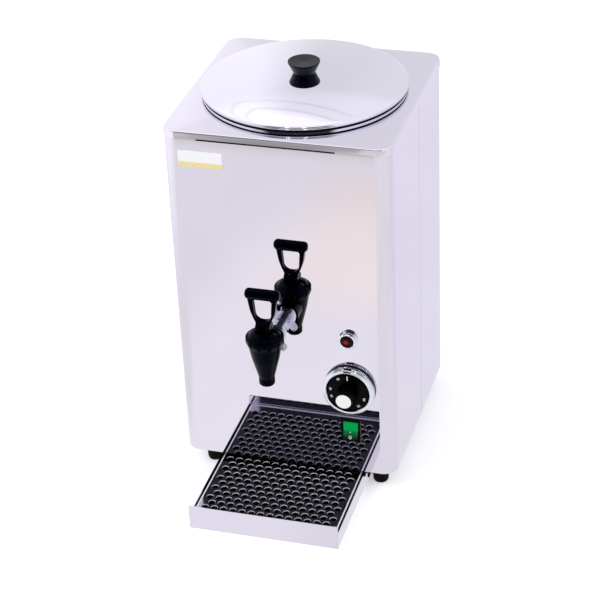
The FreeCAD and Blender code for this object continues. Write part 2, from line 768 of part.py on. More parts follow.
ring("panel_washer", "washer_radius", "shank_radius + thread_play", "washer_thick", FRONT_Y)
THREAD = "shank_radius + thread_play"
hex_nut("panel_nut", "nut_radius", THREAD, "nut_thick", FRONT_Y + " + wall + nut_thick")

# Wing nut: the hub behind the tap, with two wings that lean towards the tap and tighten it
wing_hub = cylinder("wing_hub", "wing_hub_radius", "wing_hub_length", "tap_x",
                    FRONT_Y + " - wing_gap", TAP_Z, FACE_FRONT)
wing_pair = new_body("wing_pair")
pad(wing_pair, outline(wing_pair, "wing_outline", [
    ("-wing_reach", "wing_rise"),
    ("-wing_hub_radius / 2", "0"),
    ("wing_hub_radius / 2", "0"),
    ("wing_reach", "wing_rise"),
    ("wing_reach", "wing_rise + wing_width"),
    ("wing_hub_radius / 2", "wing_hub_length"),
    ("-wing_hub_radius / 2", "wing_hub_length"),
    ("-wing_reach", "wing_rise + wing_width"),
], "XZ_Plane"), "wing_thick", True)
rounded(wing_pair, lambda e: runs_along(e, V(0, 1, 0)) and abs(e.Vertexes[0].Point.x) > value("wing_hub_radius"),
        "wing_round", "wing_tips")
WING_FACE = FreeCAD.Rotation(V(0, 1, 0), -value("wing_turn")).multiply(FACE_FRONT)
place(wing_pair, "tap_x", FRONT_Y + " - wing_gap", TAP_Z, WING_FACE)
wing_bore = cylinder("wing_bore", THREAD, "wing_hub_length * 3", "tap_x", FRONT_Y, TAP_Z, FACE_FRONT)
node(cut("wing_nut", joined("wing_joined", wing_hub, wing_pair), wing_bore), "wing_nut")

# Pot seal and nut inside the pot
POT_WALL_Y = "(%s - sqrt((pot_radius - 0.6) ^ 2 - (nut_radius + 0.5) ^ 2))" % POT_Y
ring("pot_seal", "nut_radius - 1", THREAD, "2", POT_WALL_Y + " + 2")
hex_nut("pot_nut", "nut_radius", THREAD, "nut_thick", POT_WALL_Y + " + 2 + nut_thick")

# Bonnet: the lobed cap that screws onto the tap body

SKIRT_TOP = "(bonnet_low + bonnet_skirt)"
bonnet = turned("bonnet_turned", [
    ("stem_radius + guide_play", "bonnet_top - bonnet_wall"),
    ("stem_radius + guide_play", "bonnet_top"),
    ("bonnet_neck", "bonnet_top"),
    ("bonnet_neck + 4.5", "bonnet_top - 1.8"),
    ("bonnet_radius - 3.4", "%s + 0.8" % SKIRT_TOP),
    ("bonnet_radius - 1", "%s" % SKIRT_TOP),
    ("bonnet_radius", "%s - 1" % SKIRT_TOP),
    ("bonnet_radius", "%s - lobe_high" % SKIRT_TOP),
    ("valve_radius + 0.6", "bonnet_low"),
    ("thread_radius + thread_play", "bonnet_low"),
    ("thread_radius + thread_play", "valve_top"),
    ("spring_radius + 1.5", "valve_top"),
    ("spring_radius + 1.5", "bonnet_top - bonnet_wall"),
])
place(bonnet, "tap_x", TAP_Y, TAP_Z)
lobe_sketch = circles(bonnet, "lobe_cut", [("bonnet_radius + lobe_radius * 0.45", "0")], "lobe_radius")
lobe_pocket = pocket(bonnet, lobe_sketch, "2 * (%s - 1.5)" % SKIRT_TOP)
doc.recompute()
lobes = bonnet.newObject("PartDesign::PolarPattern", "lobes")
lobes.Originals = [lobe_pocket]
lobes.Axis = (plane(bonnet, "Z_Axis"), [""])
lobes.Angle = 360
lobes.setExpression("Occurrences", bound("lobe_count"))
bonnet.Tip = lobes
node(bonnet, "bonnet")

# Stem, seat cup, spring, pin and lever

STEM_TOP = "(bonnet_top + pin_rise + stem_radius)"
CUP_TOP = "(%s + cup_thick)" % SEAT_Z
stem = turned("stem_turned", [
    ("0", SEAT_Z + " + 2"),
    ("stem_radius", SEAT_Z + " + 2"),
    ("stem_radius", CUP_TOP),
    ("spring_radius - 0.5", CUP_TOP),
    ("spring_radius - 0.5", CUP_TOP + " + 2"),
    ("stem_radius", CUP_TOP + " + 2"),
    ("stem_radius", STEM_TOP),
    ("0", STEM_TOP),
])
place(stem, "tap_x", TAP_Y, TAP_Z)
stem_pin_hole = cylinder("stem_pin_hole", "pin_radius", "stem_radius * 4", "tap_x - 2 * stem_radius", TAP_Y,
                         TAP_Z + " + bonnet_top + pin_rise", FACE_RIGHT)
node(cut("valve_stem", stem, stem_pin_hole), "valve_stem")

seat_cup = turned("seat_cup_turned", [
    ("0", SEAT_Z + " + 0.05"),
    ("cup_radius - 2", SEAT_Z + " + 0.05"),
    ("cup_radius", SEAT_Z + " + 2"),
    ("cup_radius", CUP_TOP),
    ("stem_radius", CUP_TOP),
    ("stem_radius", SEAT_Z + " + 2"),
    ("0", SEAT_Z + " + 2"),
])
node(place(seat_cup, "tap_x", TAP_Y, TAP_Z), "seat_cup")

SPRING_LOW = "(%s + 2)" % CUP_TOP
SPRING_HIGH = "(bonnet_top - bonnet_wall)"
spring = turned("spring_turned", [
    ("spring_radius - spring_wire", SPRING_LOW),
    ("spring_radius", SPRING_LOW),
    ("spring_radius", SPRING_HIGH),
    ("spring_radius - spring_wire", SPRING_HIGH),
])
node(place(spring, "tap_x", TAP_Y, TAP_Z), "return_spring")

PIN_Z = "(%s + bonnet_top + pin_rise)" % TAP_Z
PIN_LENGTH = "arm_foot - 2"
pin = cylinder("pin_rod", "pin_radius", PIN_LENGTH, "tap_x - (%s) / 2" % PIN_LENGTH, TAP_Y, PIN_Z, FACE_RIGHT)
node(pin, "lever_pin")

# The lever's cam stands on the bonnet, and its eye opens between two arms under the crossbar
CAM_Z = "(bonnet_top + pivot_play)"
lever_arms = new_body("lever_arms")
pad(lever_arms, outline(lever_arms, "arm_outline", [
    ("-arm_foot / 2", "neck_high - arm_root"),
    ("arm_foot / 2", "neck_high - arm_root"),
    ("arm_foot / 2", "neck_high + arm_flare"),
    ("arm_waist / 2", "waist_high"),
    ("arm_knee / 2", "knee_high"),
    ("arm_top / 2", "bar_rise - bar_radius"),
    ("arm_top / 2", "bar_rise"),
    ("-arm_top / 2", "bar_rise"),
    ("-arm_top / 2", "bar_rise - bar_radius"),
    ("-arm_knee / 2", "knee_high"),
    ("-arm_waist / 2", "waist_high"),
    ("-arm_foot / 2", "neck_high + arm_flare"),
], "XZ_Plane"), "lever_thick", True)
pocket(lever_arms, outline(lever_arms, "eye_outline", [
    ("-eye_foot / 2", "eye_low"),
    ("eye_foot / 2", "eye_low"),
    ("eye_top / 2", "eye_high"),
    ("-eye_top / 2", "eye_high"),
], "XZ_Plane"), "lever_thick * 3")


def across_at(edge, height):
    """True for an edge along Y at this height, a formula."""
    return runs_along(edge, V(0, 1, 0)) and abs(edge.Vertexes[0].Point.z - value(height)) < 1e-4


rounded(lever_arms, lambda e: across_at(e, "eye_low"), "eye_foot_round", "eye_foot_rounding")
rounded(lever_arms, lambda e: across_at(e, "eye_high"), "eye_top_round", "eye_top_rounding")
rounded(lever_arms, lambda e: not runs_along(e, V(0, 1, 0)) and e.BoundBox.ZMax < value("bar_rise") - 0.5
        and e.BoundBox.ZMin > value("neck_high - arm_root") + 0.5, "arm_edge", "arm_rounding")
place(lever_arms, "tap_x", TAP_Y, TAP_Z)

lever_bar = new_body("lever_bar")
pad(lever_bar, circles(lever_bar, "bar_circle", [("0", "0")], "bar_radius"), "bar_length", True)
rounded(lever_bar, lambda e: isinstance(e.Curve, Part.Circle), "bar_end_round", "bar_ends")
place(lever_bar, "tap_x", TAP_Y, TAP_Z + " + bar_rise", FACE_RIGHT)

lever_cam = new_body("lever_cam")
pad(lever_cam, outline(lever_cam, "cam_outline", [
    ("-cam_depth / 2", CAM_Z),
    ("cam_depth / 2", CAM_Z),
    ("cam_depth / 2", "bonnet_top + cam_high"),
    ("lever_thick / 2", "neck_high"),
    ("-lever_thick / 2", "neck_high"),
    ("-cam_depth / 2", "bonnet_top + cam_high"),
], "YZ_Plane"), "arm_foot", True)
rounded(lever_cam, lambda e: runs_along(e, V(1, 0, 0)) and e.Vertexes[0].Point.z < value(CAM_Z) + 0.01,
        "cam_round", "cam_rounding")
place(lever_cam, "tap_x", TAP_Y, TAP_Z)
lever_slot = box("lever_slot", "slot_width", "cam_depth * 3", "slot_high", "tap_x - slot_width / 2",
                 TAP_Y + " - cam_depth * 1.5", TAP_Z + " + bonnet_top - 1")
lever_bore = cylinder("lever_bore", "pin_radius + pivot_play", "arm_foot * 2", "tap_x - arm_foot", TAP_Y, PIN_Z,
                      FACE_RIGHT)
node(cut("tap_lever", joined("lever_joined", lever_arms, lever_bar, lever_cam), lever_slot, lever_bore),
     "tap_lever")

# Thermostat: capillary control behind the panel, chrome bezel ring, dial with grip and cap

DIAL_Z = "(lift + dial_height)"
BEHIND = "(%s + wall)" % FRONT_Y
control_box = box("control_box_block", "control_box", "control_box_depth", "control_box * 0.8",
                  "control_x - control_box / 2", BEHIND, DIAL_Z + " - control_box * 0.4")
control_hole = cylinder("control_hole", "shaft_radius + 0.1", "20", "control_x", BEHIND + " + 14", DIAL_Z,
                        FACE_FRONT)
node(cut("thermostat_control", control_box, control_hole), "thermostat_control")

shaft = cylinder("shaft_rod", "shaft_radius", "shaft_reach + wall + 12", "control_x", BEHIND + " + 12", DIAL_Z,
                 FACE_FRONT)
node(shaft, "thermostat_shaft")

bezel = turned("bezel_turned", [
    ("bezel_inner", "0"),
    ("bezel_radius", "0"),
    ("bezel_radius", "bezel_reach - 3"),
    ("bezel_front_radius + 0.6", "bezel_reach - 0.6"),
    ("bezel_front_radius - 0.5", "bezel_reach"),
    ("bezel_inner + 0.6", "bezel_reach - 0.6"),
    ("bezel_inner", "bezel_reach - 1.6"),
])
node(place(bezel, "control_x", FRONT_Y, DIAL_Z, FACE_FRONT), "dial_bezel")

DIAL_FACE = "(dial_clear + dial_skirt)"
dial = turned("dial_turned", [
    ("shaft_radius", "dial_clear"),
    ("dial_radius", "dial_clear"),
    ("dial_radius", DIAL_FACE + " - 0.8"),
    ("dial_radius - 1.4", DIAL_FACE),
    ("grip_radius", DIAL_FACE),
    ("grip_top_radius", DIAL_FACE + " + grip_reach"),
    ("cap_radius", DIAL_FACE + " + grip_reach"),
    ("cap_radius", DIAL_FACE + " + grip_reach - cap_thick"),
    ("0", DIAL_FACE + " + grip_reach - cap_thick"),
    ("0", "shaft_reach"),
    ("shaft_radius", "shaft_reach"),
])
node(place(dial, "control_x", FRONT_Y, DIAL_Z, FACE_FRONT), "dial_knob")
cap = cylinder("cap_disc", "cap_radius", "cap_thick + 0.3", "control_x",
               "%s - (%s + grip_reach - cap_thick)" % (FRONT_Y, DIAL_FACE), DIAL_Z, FACE_FRONT)
node(cap, "dial_cap")

bulb = cylinder("bulb_rod", "bulb_radius", "bulb_length", BULB_X, BULB_Y, BATH_FLOOR + " - bulb_below")
node(bulb, "thermostat_bulb")
bulb_nut = cylinder("bulb_nut_disc", "bulb_nut_radius", "bulb_below / 2", BULB_X, BULB_Y,
                    BATH_FLOOR + " - bulb_below / 2")
bulb_nut_hole = cylinder("bulb_nut_hole", "bulb_radius + thread_play", "bulb_below", BULB_X, BULB_Y,
                         BATH_FLOOR + " - bulb_below * 0.75")
node(cut("bulb_nut", bulb_nut, bulb_nut_hole), "bulb_nut")

# Pilot lamp

LAMP_Z = "(lift + lamp_height)"
lamp_bezel = turned("lamp_bezel_turned", [
    ("lens_radius", "1.2"),
    ("lamp_neck_radius", "1.2"),
    ("lamp_neck_radius", "0"),
    ("lamp_radius", "0"),
    ("lamp_radius", "lamp_flange"),
    ("lamp_barrel", "lamp_flange + 0.9"),
    ("lamp_barrel", "lamp_reach - 0.8"),
    ("lamp_barrel - 0.8", "lamp_reach"),
    ("lens_radius", "lamp_reach"),
])
node(place(lamp_bezel, "control_x", FRONT_Y, LAMP_Z, FACE_FRONT), "lamp_bezel")
lens = turned("lens_turned", [
    ("0", "1.2"),
    ("lens_radius", "1.2"),
    ("lens_radius", "lamp_reach - 0.6"),
    ("0", "lamp_reach + 0.4"),
])
node(place(lens, "control_x", FRONT_Y, LAMP_Z, FACE_FRONT), "lamp_lens")
lamp_stem = cylinder("lamp_stem", "lamp_neck_radius", "lamp_length + 1.2", "control_x",
                     FRONT_Y + " + lamp_length", LAMP_Z, FACE_FRONT)
node(lamp_stem, "lamp_body")
ring("lamp_nut", "lamp_radius", "lamp_neck_radius + thread_play", "3", BEHIND + " + 3", "control_x", LAMP_Z)

# Rocker switch: a framed housing and a rocker that tips about X

SWITCH_Z = "(lift + switch_height)"
switch_frame = box("switch_frame", "switch_wide", "switch_lip", "switch_tall", "control_x - switch_wide / 2",
                   FRONT_Y + " - switch_lip", SWITCH_Z + " - switch_tall / 2")
switch_can = box("switch_can", "cutout_wide", "switch_body_depth", "cutout_tall", "control_x - cutout_wide / 2",
                 FRONT_Y, SWITCH_Z + " - cutout_tall / 2")
switch_well = box("switch_well", "rocker_wide + 2 * rocker_play", "switch_lip + well_depth",
                  "rocker_tall + 4 * rocker_play", "control_x - rocker_wide / 2 - rocker_play",
                  FRONT_Y + " - switch_lip", SWITCH_Z + " - rocker_tall / 2 - 2 * rocker_play")
ROCKER_Y = "(%s + rocker_inset)" % FRONT_Y
rocker_bore = cylinder("rocker_bore", "rocker_pin_radius + pivot_play", "rocker_wide + 2 * rocker_play + 1.5",
                       "control_x - rocker_wide / 2 - rocker_play - 0.75", ROCKER_Y, SWITCH_Z, FACE_RIGHT)
node(cut("switch_housing", joined("switch_joined", switch_frame, switch_can), switch_well, rocker_bore),
     "switch_housing")

rocker = new_body("rocker_body")
pad(rocker, outline(rocker, "rocker_outline", [
    ("rocker_deep / 2", "-rocker_tall / 2 + 4"),
    ("rocker_deep / 2", "rocker_tall / 2 - 4"),
    ("0", "rocker_tall / 2"),
    ("-rocker_deep / 2 - 1", "rocker_tall / 2 - 0.4"),
    ("-rocker_deep / 2 + rocker_rise", "0"),
    ("-rocker_deep / 2 - 1", "-rocker_tall / 2 + 0.4"),
    ("0", "-rocker_tall / 2"),
], "YZ_Plane"), "rocker_wide", True)
place(rocker, "control_x", ROCKER_Y, SWITCH_Z, FreeCAD.Rotation(V(1, 0, 0), -value("rocker_tilt")))
rocker_pin = cylinder("rocker_pin", "rocker_pin_radius", "rocker_wide + 2 * rocker_play + 1.2",
                      "control_x - rocker_wide / 2 - rocker_play - 0.6", ROCKER_Y, SWITCH_Z, FACE_RIGHT)
node(joined("rocker_joined", rocker, rocker_pin), "switch_rocker")

# Label plate, left blank

label_plate = box("label_block", "label_wide", "label_thick", "label_tall", "-body_width / 2 + label_left",
                  FRONT_Y + " - label_thick", "lift + label_height - label_tall / 2")
node(label_plate, "label_plate")

# Heater in the water under the pot, with its nuts below the bath's floor

HEATER_Z = "(%s + bath_wall + heater_clear + heater_tube)" % BATH_FLOOR
heater_ring = doc.addObject("Part::Torus", "heater_ring")
heater_ring.setExpression("Radius1", bound("heater_radius"))
heater_ring.setExpression("Radius2", bound("heater_tube"))
place(heater_ring, "pot_x", POT_Y, HEATER_Z)
legs = []
for i, sign in enumerate(("-1", "1")):
    legs.append(cylinder("heater_leg_%d" % i, "heater_tube",
                         "heater_leg + bath_wall + heater_clear + heater_tube",
                         "pot_x + %s * heater_spread / 2" % sign, POT_Y + " + heater_radius",
                         BATH_FLOOR + " - heater_leg"))
node(joined("heater", heater_ring, *legs), "heating_element")
nut_pieces = []
for i, sign in enumerate(("-1", "1")):
    disc = cylinder("heater_nut_%d" % i, "heater_nut_radius", "6", "pot_x + %s * heater_spread / 2" % sign,
                    POT_Y + " + heater_radius", BATH_FLOOR + " - 6")
    hole = cylinder("heater_nut_hole_%d" % i, "heater_tube + thread_play", "20",
                    "pot_x + %s * heater_spread / 2" % sign, POT_Y + " + heater_radius", BATH_FLOOR + " - 12")
    nut_pieces.append(cut("heater_nut_cut_%d" % i, disc, hole))
heater_nuts = joined("heater_nut_pair", *nut_pieces)
node(heater_nuts, "heater_nuts")

safety = cylinder("safety_disc", "cutout_radius", "cutout_tall_disc", "pot_x + 30", POT_Y + " - 40",
                  BATH_FLOOR + " - cutout_tall_disc")
node(safety, "safety_thermostat")

terminal = box("terminal_blank", "terminal_long", "terminal_wide", "terminal_high", "gland_x - terminal_long",
               BACK_Y + " - 70", "lift + wall + base_thick")
node(terminal, "terminal_block")

# Cable gland in the back, where the supply cord enters

GLAND_Z = "(lift + gland_height)"
gland_tube = cylinder("gland_tube", "gland_radius", "gland_reach + gland_inside + wall", "gland_x",
                      BACK_Y + " + gland_reach", GLAND_Z, FACE_FRONT)
gland_collar = cylinder("gland_collar", "gland_hex_radius", "gland_reach * 0.6", "gland_x",
                        BACK_Y + " + gland_reach * 0.6", GLAND_Z, FACE_FRONT)
gland_cut = cylinder("gland_cut", "gland_bore", "body_depth", "gland_x", BACK_Y + " + gland_reach + 1", GLAND_Z,
                     FACE_FRONT)
gland_throat = cylinder("gland_throat_cut", "gland_throat", "body_depth", "gland_x",
                        BACK_Y + " + gland_reach - gland_bore_long", GLAND_Z, FACE_FRONT)
node(cut("cable_gland", joined("gland_joined", gland_tube, gland_collar), gland_cut, gland_throat), "cable_gland")
hex_nut("gland_nut", "gland_hex_radius", "gland_radius + thread_play", "5", BACK_Y + " - wall", "gland_x",
        GLAND_Z)

# Rubber feet and their screws

for name, (x, y) in FOOT_SPOTS.items():
    foot = turned("foot_" + name + "_turned", [
        ("foot_screw_radius", "foot_web"),
        ("foot_screw_radius", "lift + wall"),
        ("foot_radius", "lift + wall"),
        ("foot_tip_radius", "foot_round"),
        ("foot_tip_radius - foot_round * 0.3", "foot_round * 0.3"),
        ("foot_tip_radius - foot_round", "0"),
        ("0", "0"),
        ("0", "foot_web"),
    ])
    node(place(foot, x, y, 0), "foot_" + name)

screws = []
for name, (x, y) in FOOT_SPOTS.items():
    shaft_piece = cylinder("screw_" + name, "foot_screw_radius", "lift + wall + base_thick - foot_web", x, y,
                           "foot_web")
    head_piece = cylinder("head_" + name, "screw_head_radius", "screw_head_high", x, y,
                          "lift + wall + base_thick")
    screws.append(joined("foot_screw_" + name, shaft_piece, head_piece))
foot_screws = doc.addObject("Part::Compound", "foot_screw_set")
foot_screws.Links = screws
node(foot_screws, "foot_screws")

# Drip tray, its perforated grid and the two guides under the base

tray_outer = box("tray_outer", "tray_wide", "tray_long - tray_wall", "tray_wall_high", "tray_x - tray_wide / 2",
                 TRAY_FRONT + " + tray_wall", 0)
tray_inner = box("tray_inner", "tray_wide - 2 * tray_wall", "tray_long - 3 * tray_wall", "tray_wall_high",
                 "tray_x - tray_wide / 2 + tray_wall", TRAY_FRONT + " + 2 * tray_wall", "tray_wall")
tray_pan = cut("tray_pan", tray_outer, tray_inner)
tray_front = new_body("tray_front")
pad(tray_front, outline(tray_front, "tray_front_outline", [
    ("-tray_plate_wide / 2", "0"),
    ("tray_plate_wide / 2", "0"),
    ("tray_plate_wide / 2", "tray_plate_high"),
    ("-tray_plate_wide / 2", "tray_plate_high"),
]), "tray_wall")
rounded(tray_front, lambda e: runs_along(e, V(0, 0, 1)) and e.Vertexes[0].Point.y > value("tray_plate_high / 2"),
        "tray_round", "tray_front_corners")
place(tray_front, "tray_x", TRAY_FRONT + " + tray_wall", 0, FACE_FRONT)
node(joined("tray", tray_pan, tray_front), "tray_body")

grid = new_body("grid_body")
pad(grid, outline(grid, "grid_outline", [
    ("-grid_wide / 2", "0"),
    ("grid_wide / 2", "0"),
    ("grid_wide / 2", "grid_long"),
    ("-grid_wide / 2", "grid_long"),
]), "grid_thick")
doc.recompute()
FIELD_HALF = "((grid_columns - 1) / 2 * grid_pitch)"
holes = circles(grid, "hole_pair", [
    ("-%s - grid_pitch / 4" % FIELD_HALF, "first_hole"),
    ("-%s + grid_pitch / 4" % FIELD_HALF, "first_hole + row_step"),
], "grid_hole_radius")
hole_cut = pocket(grid, holes, "3 * grid_top")
doc.recompute()
field = grid.newObject("PartDesign::MultiTransform", "hole_field")
field.Originals = [hole_cut]
across = grid.newObject("PartDesign::LinearPattern", "holes_across")
across.Direction = (holes, ["H_Axis"])
across.setExpression("Length", bound("grid_pitch * (grid_columns - 1)"))
across.setExpression("Occurrences", bound("grid_columns"))
along = grid.newObject("PartDesign::LinearPattern", "holes_along")
along.Direction = (holes, ["V_Axis"])
along.setExpression("Length", bound("2 * row_step * (grid_row_pairs - 1)"))
along.setExpression("Occurrences", bound("grid_row_pairs"))
field.Transformations = [across, along]
grid.Tip = field
GRID_Y = "(%s + 2 * tray_wall + fit_gap)" % TRAY_FRONT
place(grid, "tray_x", GRID_Y, "grid_top - grid_thick")
node(grid, "drip_grid")

frame_outer = box("frame_outer", "grid_wide", "grid_long", "grid_top - grid_thick - tray_wall",
                  "tray_x - grid_wide / 2", GRID_Y, "tray_wall")
frame_inner = box("frame_inner", "grid_wide - 2 * grid_thick", "grid_long - 2 * grid_thick", "grid_top * 2",
                  "tray_x - grid_wide / 2 + grid_thick", GRID_Y + " + grid_thick", "-grid_top / 2")
node(cut("grid_frame", frame_outer, frame_inner), "grid_frame")


# The front rail is a black strip under the panel's lower edge, from foot to foot

front_rail = box("rail_block", "2 * foot_spread", "rail_deep", "rail_high", "tray_x - foot_spread",
                 FRONT_Y + " + rail_inset", "lift - rail_high")
node(front_rail, "front_rail")


def tray_guide(label, side):
    """A plain plastic strip beside the tray, under the base, from the front rail to the back."""
    x = "tray_x + tray_plate_wide / 2 + guide_gap"
    if side < 0:
        x = "tray_x - tray_plate_wide / 2 - guide_gap - guide_thick"
    strip = box(label, "guide_thick", "guide_long", "guide_high + wall", x,
                FRONT_Y + " + rail_inset + rail_deep + fit_gap", "lift - guide_high")
    node(strip, label)


tray_guide("tray_guide_left", -1)
tray_guide("tray_guide_right", 1)

doc.recompute()

# Every object and every sub-part's shape is checked before anything is written

broken = [o.Name for o in doc.Objects if "Invalid" in o.State or "Error" in o.State]
if broken:
    raise RuntimeError("failed objects: " + ", ".join(broken))
for piece in nodes:
    if piece.Shape.isNull() or not piece.Shape.isValid():
        raise RuntimeError("bad shape: " + piece.Label)

os.makedirs("parts", exist_ok=True)
for piece in nodes:
    piece.Shape.exportStep(os.path.join("parts", piece.Label + ".step"))
print(len(nodes), "sub-parts written")
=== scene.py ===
import math

import bmesh
import bpy
from mathutils import Matrix, Vector
from mathutils.geometry import delaunay_2d_cdt


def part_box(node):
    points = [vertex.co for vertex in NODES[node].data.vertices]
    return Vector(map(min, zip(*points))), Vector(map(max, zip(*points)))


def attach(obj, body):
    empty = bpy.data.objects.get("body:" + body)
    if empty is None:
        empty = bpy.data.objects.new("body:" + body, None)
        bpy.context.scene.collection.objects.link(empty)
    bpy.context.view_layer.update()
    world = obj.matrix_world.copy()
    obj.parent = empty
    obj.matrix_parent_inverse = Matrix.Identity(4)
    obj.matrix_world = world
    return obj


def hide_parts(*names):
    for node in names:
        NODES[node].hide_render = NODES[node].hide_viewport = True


# Milk dispenser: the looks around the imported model. Metres, +X right, +Y back, +Z up.

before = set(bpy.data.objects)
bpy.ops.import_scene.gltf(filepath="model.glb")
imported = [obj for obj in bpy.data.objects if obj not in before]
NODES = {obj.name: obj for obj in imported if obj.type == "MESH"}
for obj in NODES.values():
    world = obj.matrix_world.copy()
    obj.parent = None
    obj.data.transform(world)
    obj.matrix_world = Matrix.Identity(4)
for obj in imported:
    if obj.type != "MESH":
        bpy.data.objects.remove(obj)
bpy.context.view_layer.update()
MM = 0.001


def low(node):
    """A CAD node's lowest corner in millimetres."""
    return Vector(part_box(node)[0]) / MM


def high(node):
    """A CAD node's highest corner in millimetres."""
    return Vector(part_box(node)[1]) / MM


def middle(node):
    return (low(node) + high(node)) / 2


# Colour and node helpers

def linear(hex_colour):
    """An sRGB hex value such as #C0C0C0 as linear red, green, blue and alpha."""
    levels = [int(hex_colour[i:i + 2], 16) / 255 for i in (1, 3, 5)]
    return [c / 12.92 if c <= 0.04045 else ((c + 0.055) / 1.055) ** 2.4 for c in levels] + [1.0]


def add_node(tree, kind, links=(), **settings):
    """Adds a shader node. Links join its inputs to outputs. Settings name its attributes or, as in_Name
    or with an input's number, its inputs."""
    node = tree.nodes.new(kind)
    for name, value in settings.items():
        if name.startswith("in_"):
            key = name[3:].replace("_", " ")
            socket = node.inputs[int(key)] if key.isdigit() else node.inputs[key]
            socket.default_value = value
        else:
            setattr(node, name, value)
    for key, source in dict(links).items():
        tree.links.new(source, node.inputs[key])
    return node


def new_material(name):
    """A material whose node tree is empty."""
    material = bpy.data.materials.new(name)
    material.use_nodes = True
    material.node_tree.nodes.clear()
    return material


def finish_surface(material, shader):
    """Gives a material its shader, and returns it."""
    add_node(material.node_tree, "ShaderNodeOutputMaterial", {"Surface": shader.outputs[0]})
    return material


def spread(tree, source, low_value, high_value, start=0.0, end=1.0, kind="LINEAR"):
    """Maps a pattern that runs from start to end onto a range."""
    return add_node(tree, "ShaderNodeMapRange", {"Value": source}, in_From_Min=start, in_From_Max=end,
                    in_To_Min=low_value, in_To_Max=high_value, interpolation_type=kind).outputs[0]


def place_of(tree, stretch=(1, 1, 1)):
    """Object coordinates in metres, stretched along each axis."""
    where = add_node(tree, "ShaderNodeTexCoord").outputs["Object"]
    return add_node(tree, "ShaderNodeMapping", {"Vector": where}, in_Scale=stretch).outputs[0]


SMEAR_SIZE = 0.05
GRINDING_SIZE = 0.0012
GRINDING_WAY = (1, 1, 0.02)
WEAR_SIZE = 0.012
WEAR = 0.05


def noise(tree, where, size, detail=3.0):
    """A cloudy pattern whose blotches are about size metres across."""
    return add_node(tree, "ShaderNodeTexNoise", {"Vector": where}, in_Scale=1 / size, in_Detail=detail,
                    in_Roughness=0.55).outputs["Fac"]


def bump(tree, height, depth):
    """Raises the surface by a pattern, to about depth metres."""
    node = add_node(tree, "ShaderNodeBump", {"Height": height}, in_Distance=depth, in_Strength=1.0)
    return node.outputs[0]


def steel(name, colour, roughness, grain=0.0, wipe=0.02):
    """Bright metal. Wiping leaves soft cloudy smears, and grinding leaves faint upright lines."""
    material = new_material(name)
    tree = material.node_tree
    smear = noise(tree, place_of(tree), SMEAR_SIZE, 4.0)
    links = {"Roughness": spread(tree, smear, roughness, roughness + wipe)}
    if grain:
        links["Normal"] = bump(tree, noise(tree, place_of(tree, GRINDING_WAY), GRINDING_SIZE, 2.0), grain)
    shader = add_node(tree, "ShaderNodeBsdfPrincipled", links, in_Base_Color=linear(colour),
                      in_Metallic=1.0)
    return finish_surface(material, shader)


def plastic(name, colour, roughness, gloss=0.5, tint="#FFFFFF", grit=0.0, grit_size=0.0008):
    """Plastic, ink and other coats. A fine grit and slight handling wear break up the gloss."""
    material = new_material(name)
    tree = material.node_tree
    where = place_of(tree)
    links = {"Roughness": spread(tree, noise(tree, where, WEAR_SIZE, 5.0), roughness, roughness + WEAR)}
    if grit:
        links["Normal"] = bump(tree, noise(tree, where, grit_size, 2.0), grit)
    shader = add_node(tree, "ShaderNodeBsdfPrincipled", links, in_Base_Color=linear(colour),
                      in_Specular_IOR_Level=gloss, in_Specular_Tint=linear(tint))
    return finish_surface(material, shader)


# Materials, each named for the real one

# Mirror-polished 1.4301 sheet: it shows the white floor in a faint lavender, with hardly any blur
MIRROR_SHEET = steel("mirror_polished_sheet", "#DEDAE8", 0.012)
# Spun and buffed lid: a little whiter and a little softer than the casing
LID_SHEET = steel("spun_polished_lid", "#E3E1EC", 0.02)
# Pressed cover: the same sheet, buffed by hand, so the rim is slightly softer
COVER_SHEET = steel("pressed_cover_sheet", "#E2DFEA", 0.025, wipe=0.025)
# Punched grid: smooth between its holes and a little darker than the casing
GRID_SHEET = steel("punched_polished_sheet", "#C2C2CA", 0.03)
# Mill finish, grey and matt, for what is hidden inside
DULL_SHEET = steel("mill_finish_sheet", "#B9B9BC", 0.28, grain=0.00002, wipe=0.08)
# Chromed brass: the brightest reflection, nearly white
CHROME = steel("chrome_plate", "#E0E4EE", 0.03)
# Turned aluminium: white and satin
SPUN_CAP = steel("turned_aluminium", "#F2F2F4", 0.22, wipe=0.05)
# Turned brass: yellow and satin
BRASS = steel("turned_brass", "#C9A45A", 0.2)
# Polished phenolic of the tap: deep black with a hard bluish shine at its edges
PHENOLIC = plastic("polished_phenolic", "#010101", 0.1, gloss=0.07, tint="#4C78E0")
# Satin phenolic of the lid's knob: black, with a slate blue top
KNOB_PLASTIC = plastic("satin_phenolic", "#030408", 0.22, gloss=0.2, tint="#8CA4E0")
# Dial moulding: black with little shine
DIAL_PLASTIC = plastic("moulded_dial_black", "#010101", 0.25, gloss=0.06)
# Switch and gland: matt black nylon with a fine grit
FRAME_PLASTIC = plastic("matte_nylon", "#020203", 0.4, gloss=0.1, grit=0.00002)
# Moulded rubber: dull black with a coarse grit
RUBBER = plastic("moulded_rubber", "#020202", 0.6, gloss=0.08, grit=0.00004)
# Silicone of the seals: milky and half matt
SILICONE = plastic("silicone", "#D8D6CE", 0.5)
# Glazed ceramic: cream with a soft shine
CERAMIC = plastic("glazed_ceramic", "#E6E0D2", 0.3)
# Needled felt: dull beige and tufted
FELT = plastic("needled_felt", "#D2CCBC", 0.95, grit=0.0006, grit_size=0.002)
# Pad prints: flat ink with a faint sheen, white or black
PRINT_WHITE = plastic("white_pad_print", "#E8ECF2", 0.5, gloss=0.2)
PRINT_BLACK = plastic("black_pad_print", "#020202", 0.5, gloss=0.08)
# Punched edges: the shear leaves them matt and pale
SHEARED_EDGE = plastic("sheared_edge", "#ECECF2", 0.5, gloss=0.3)
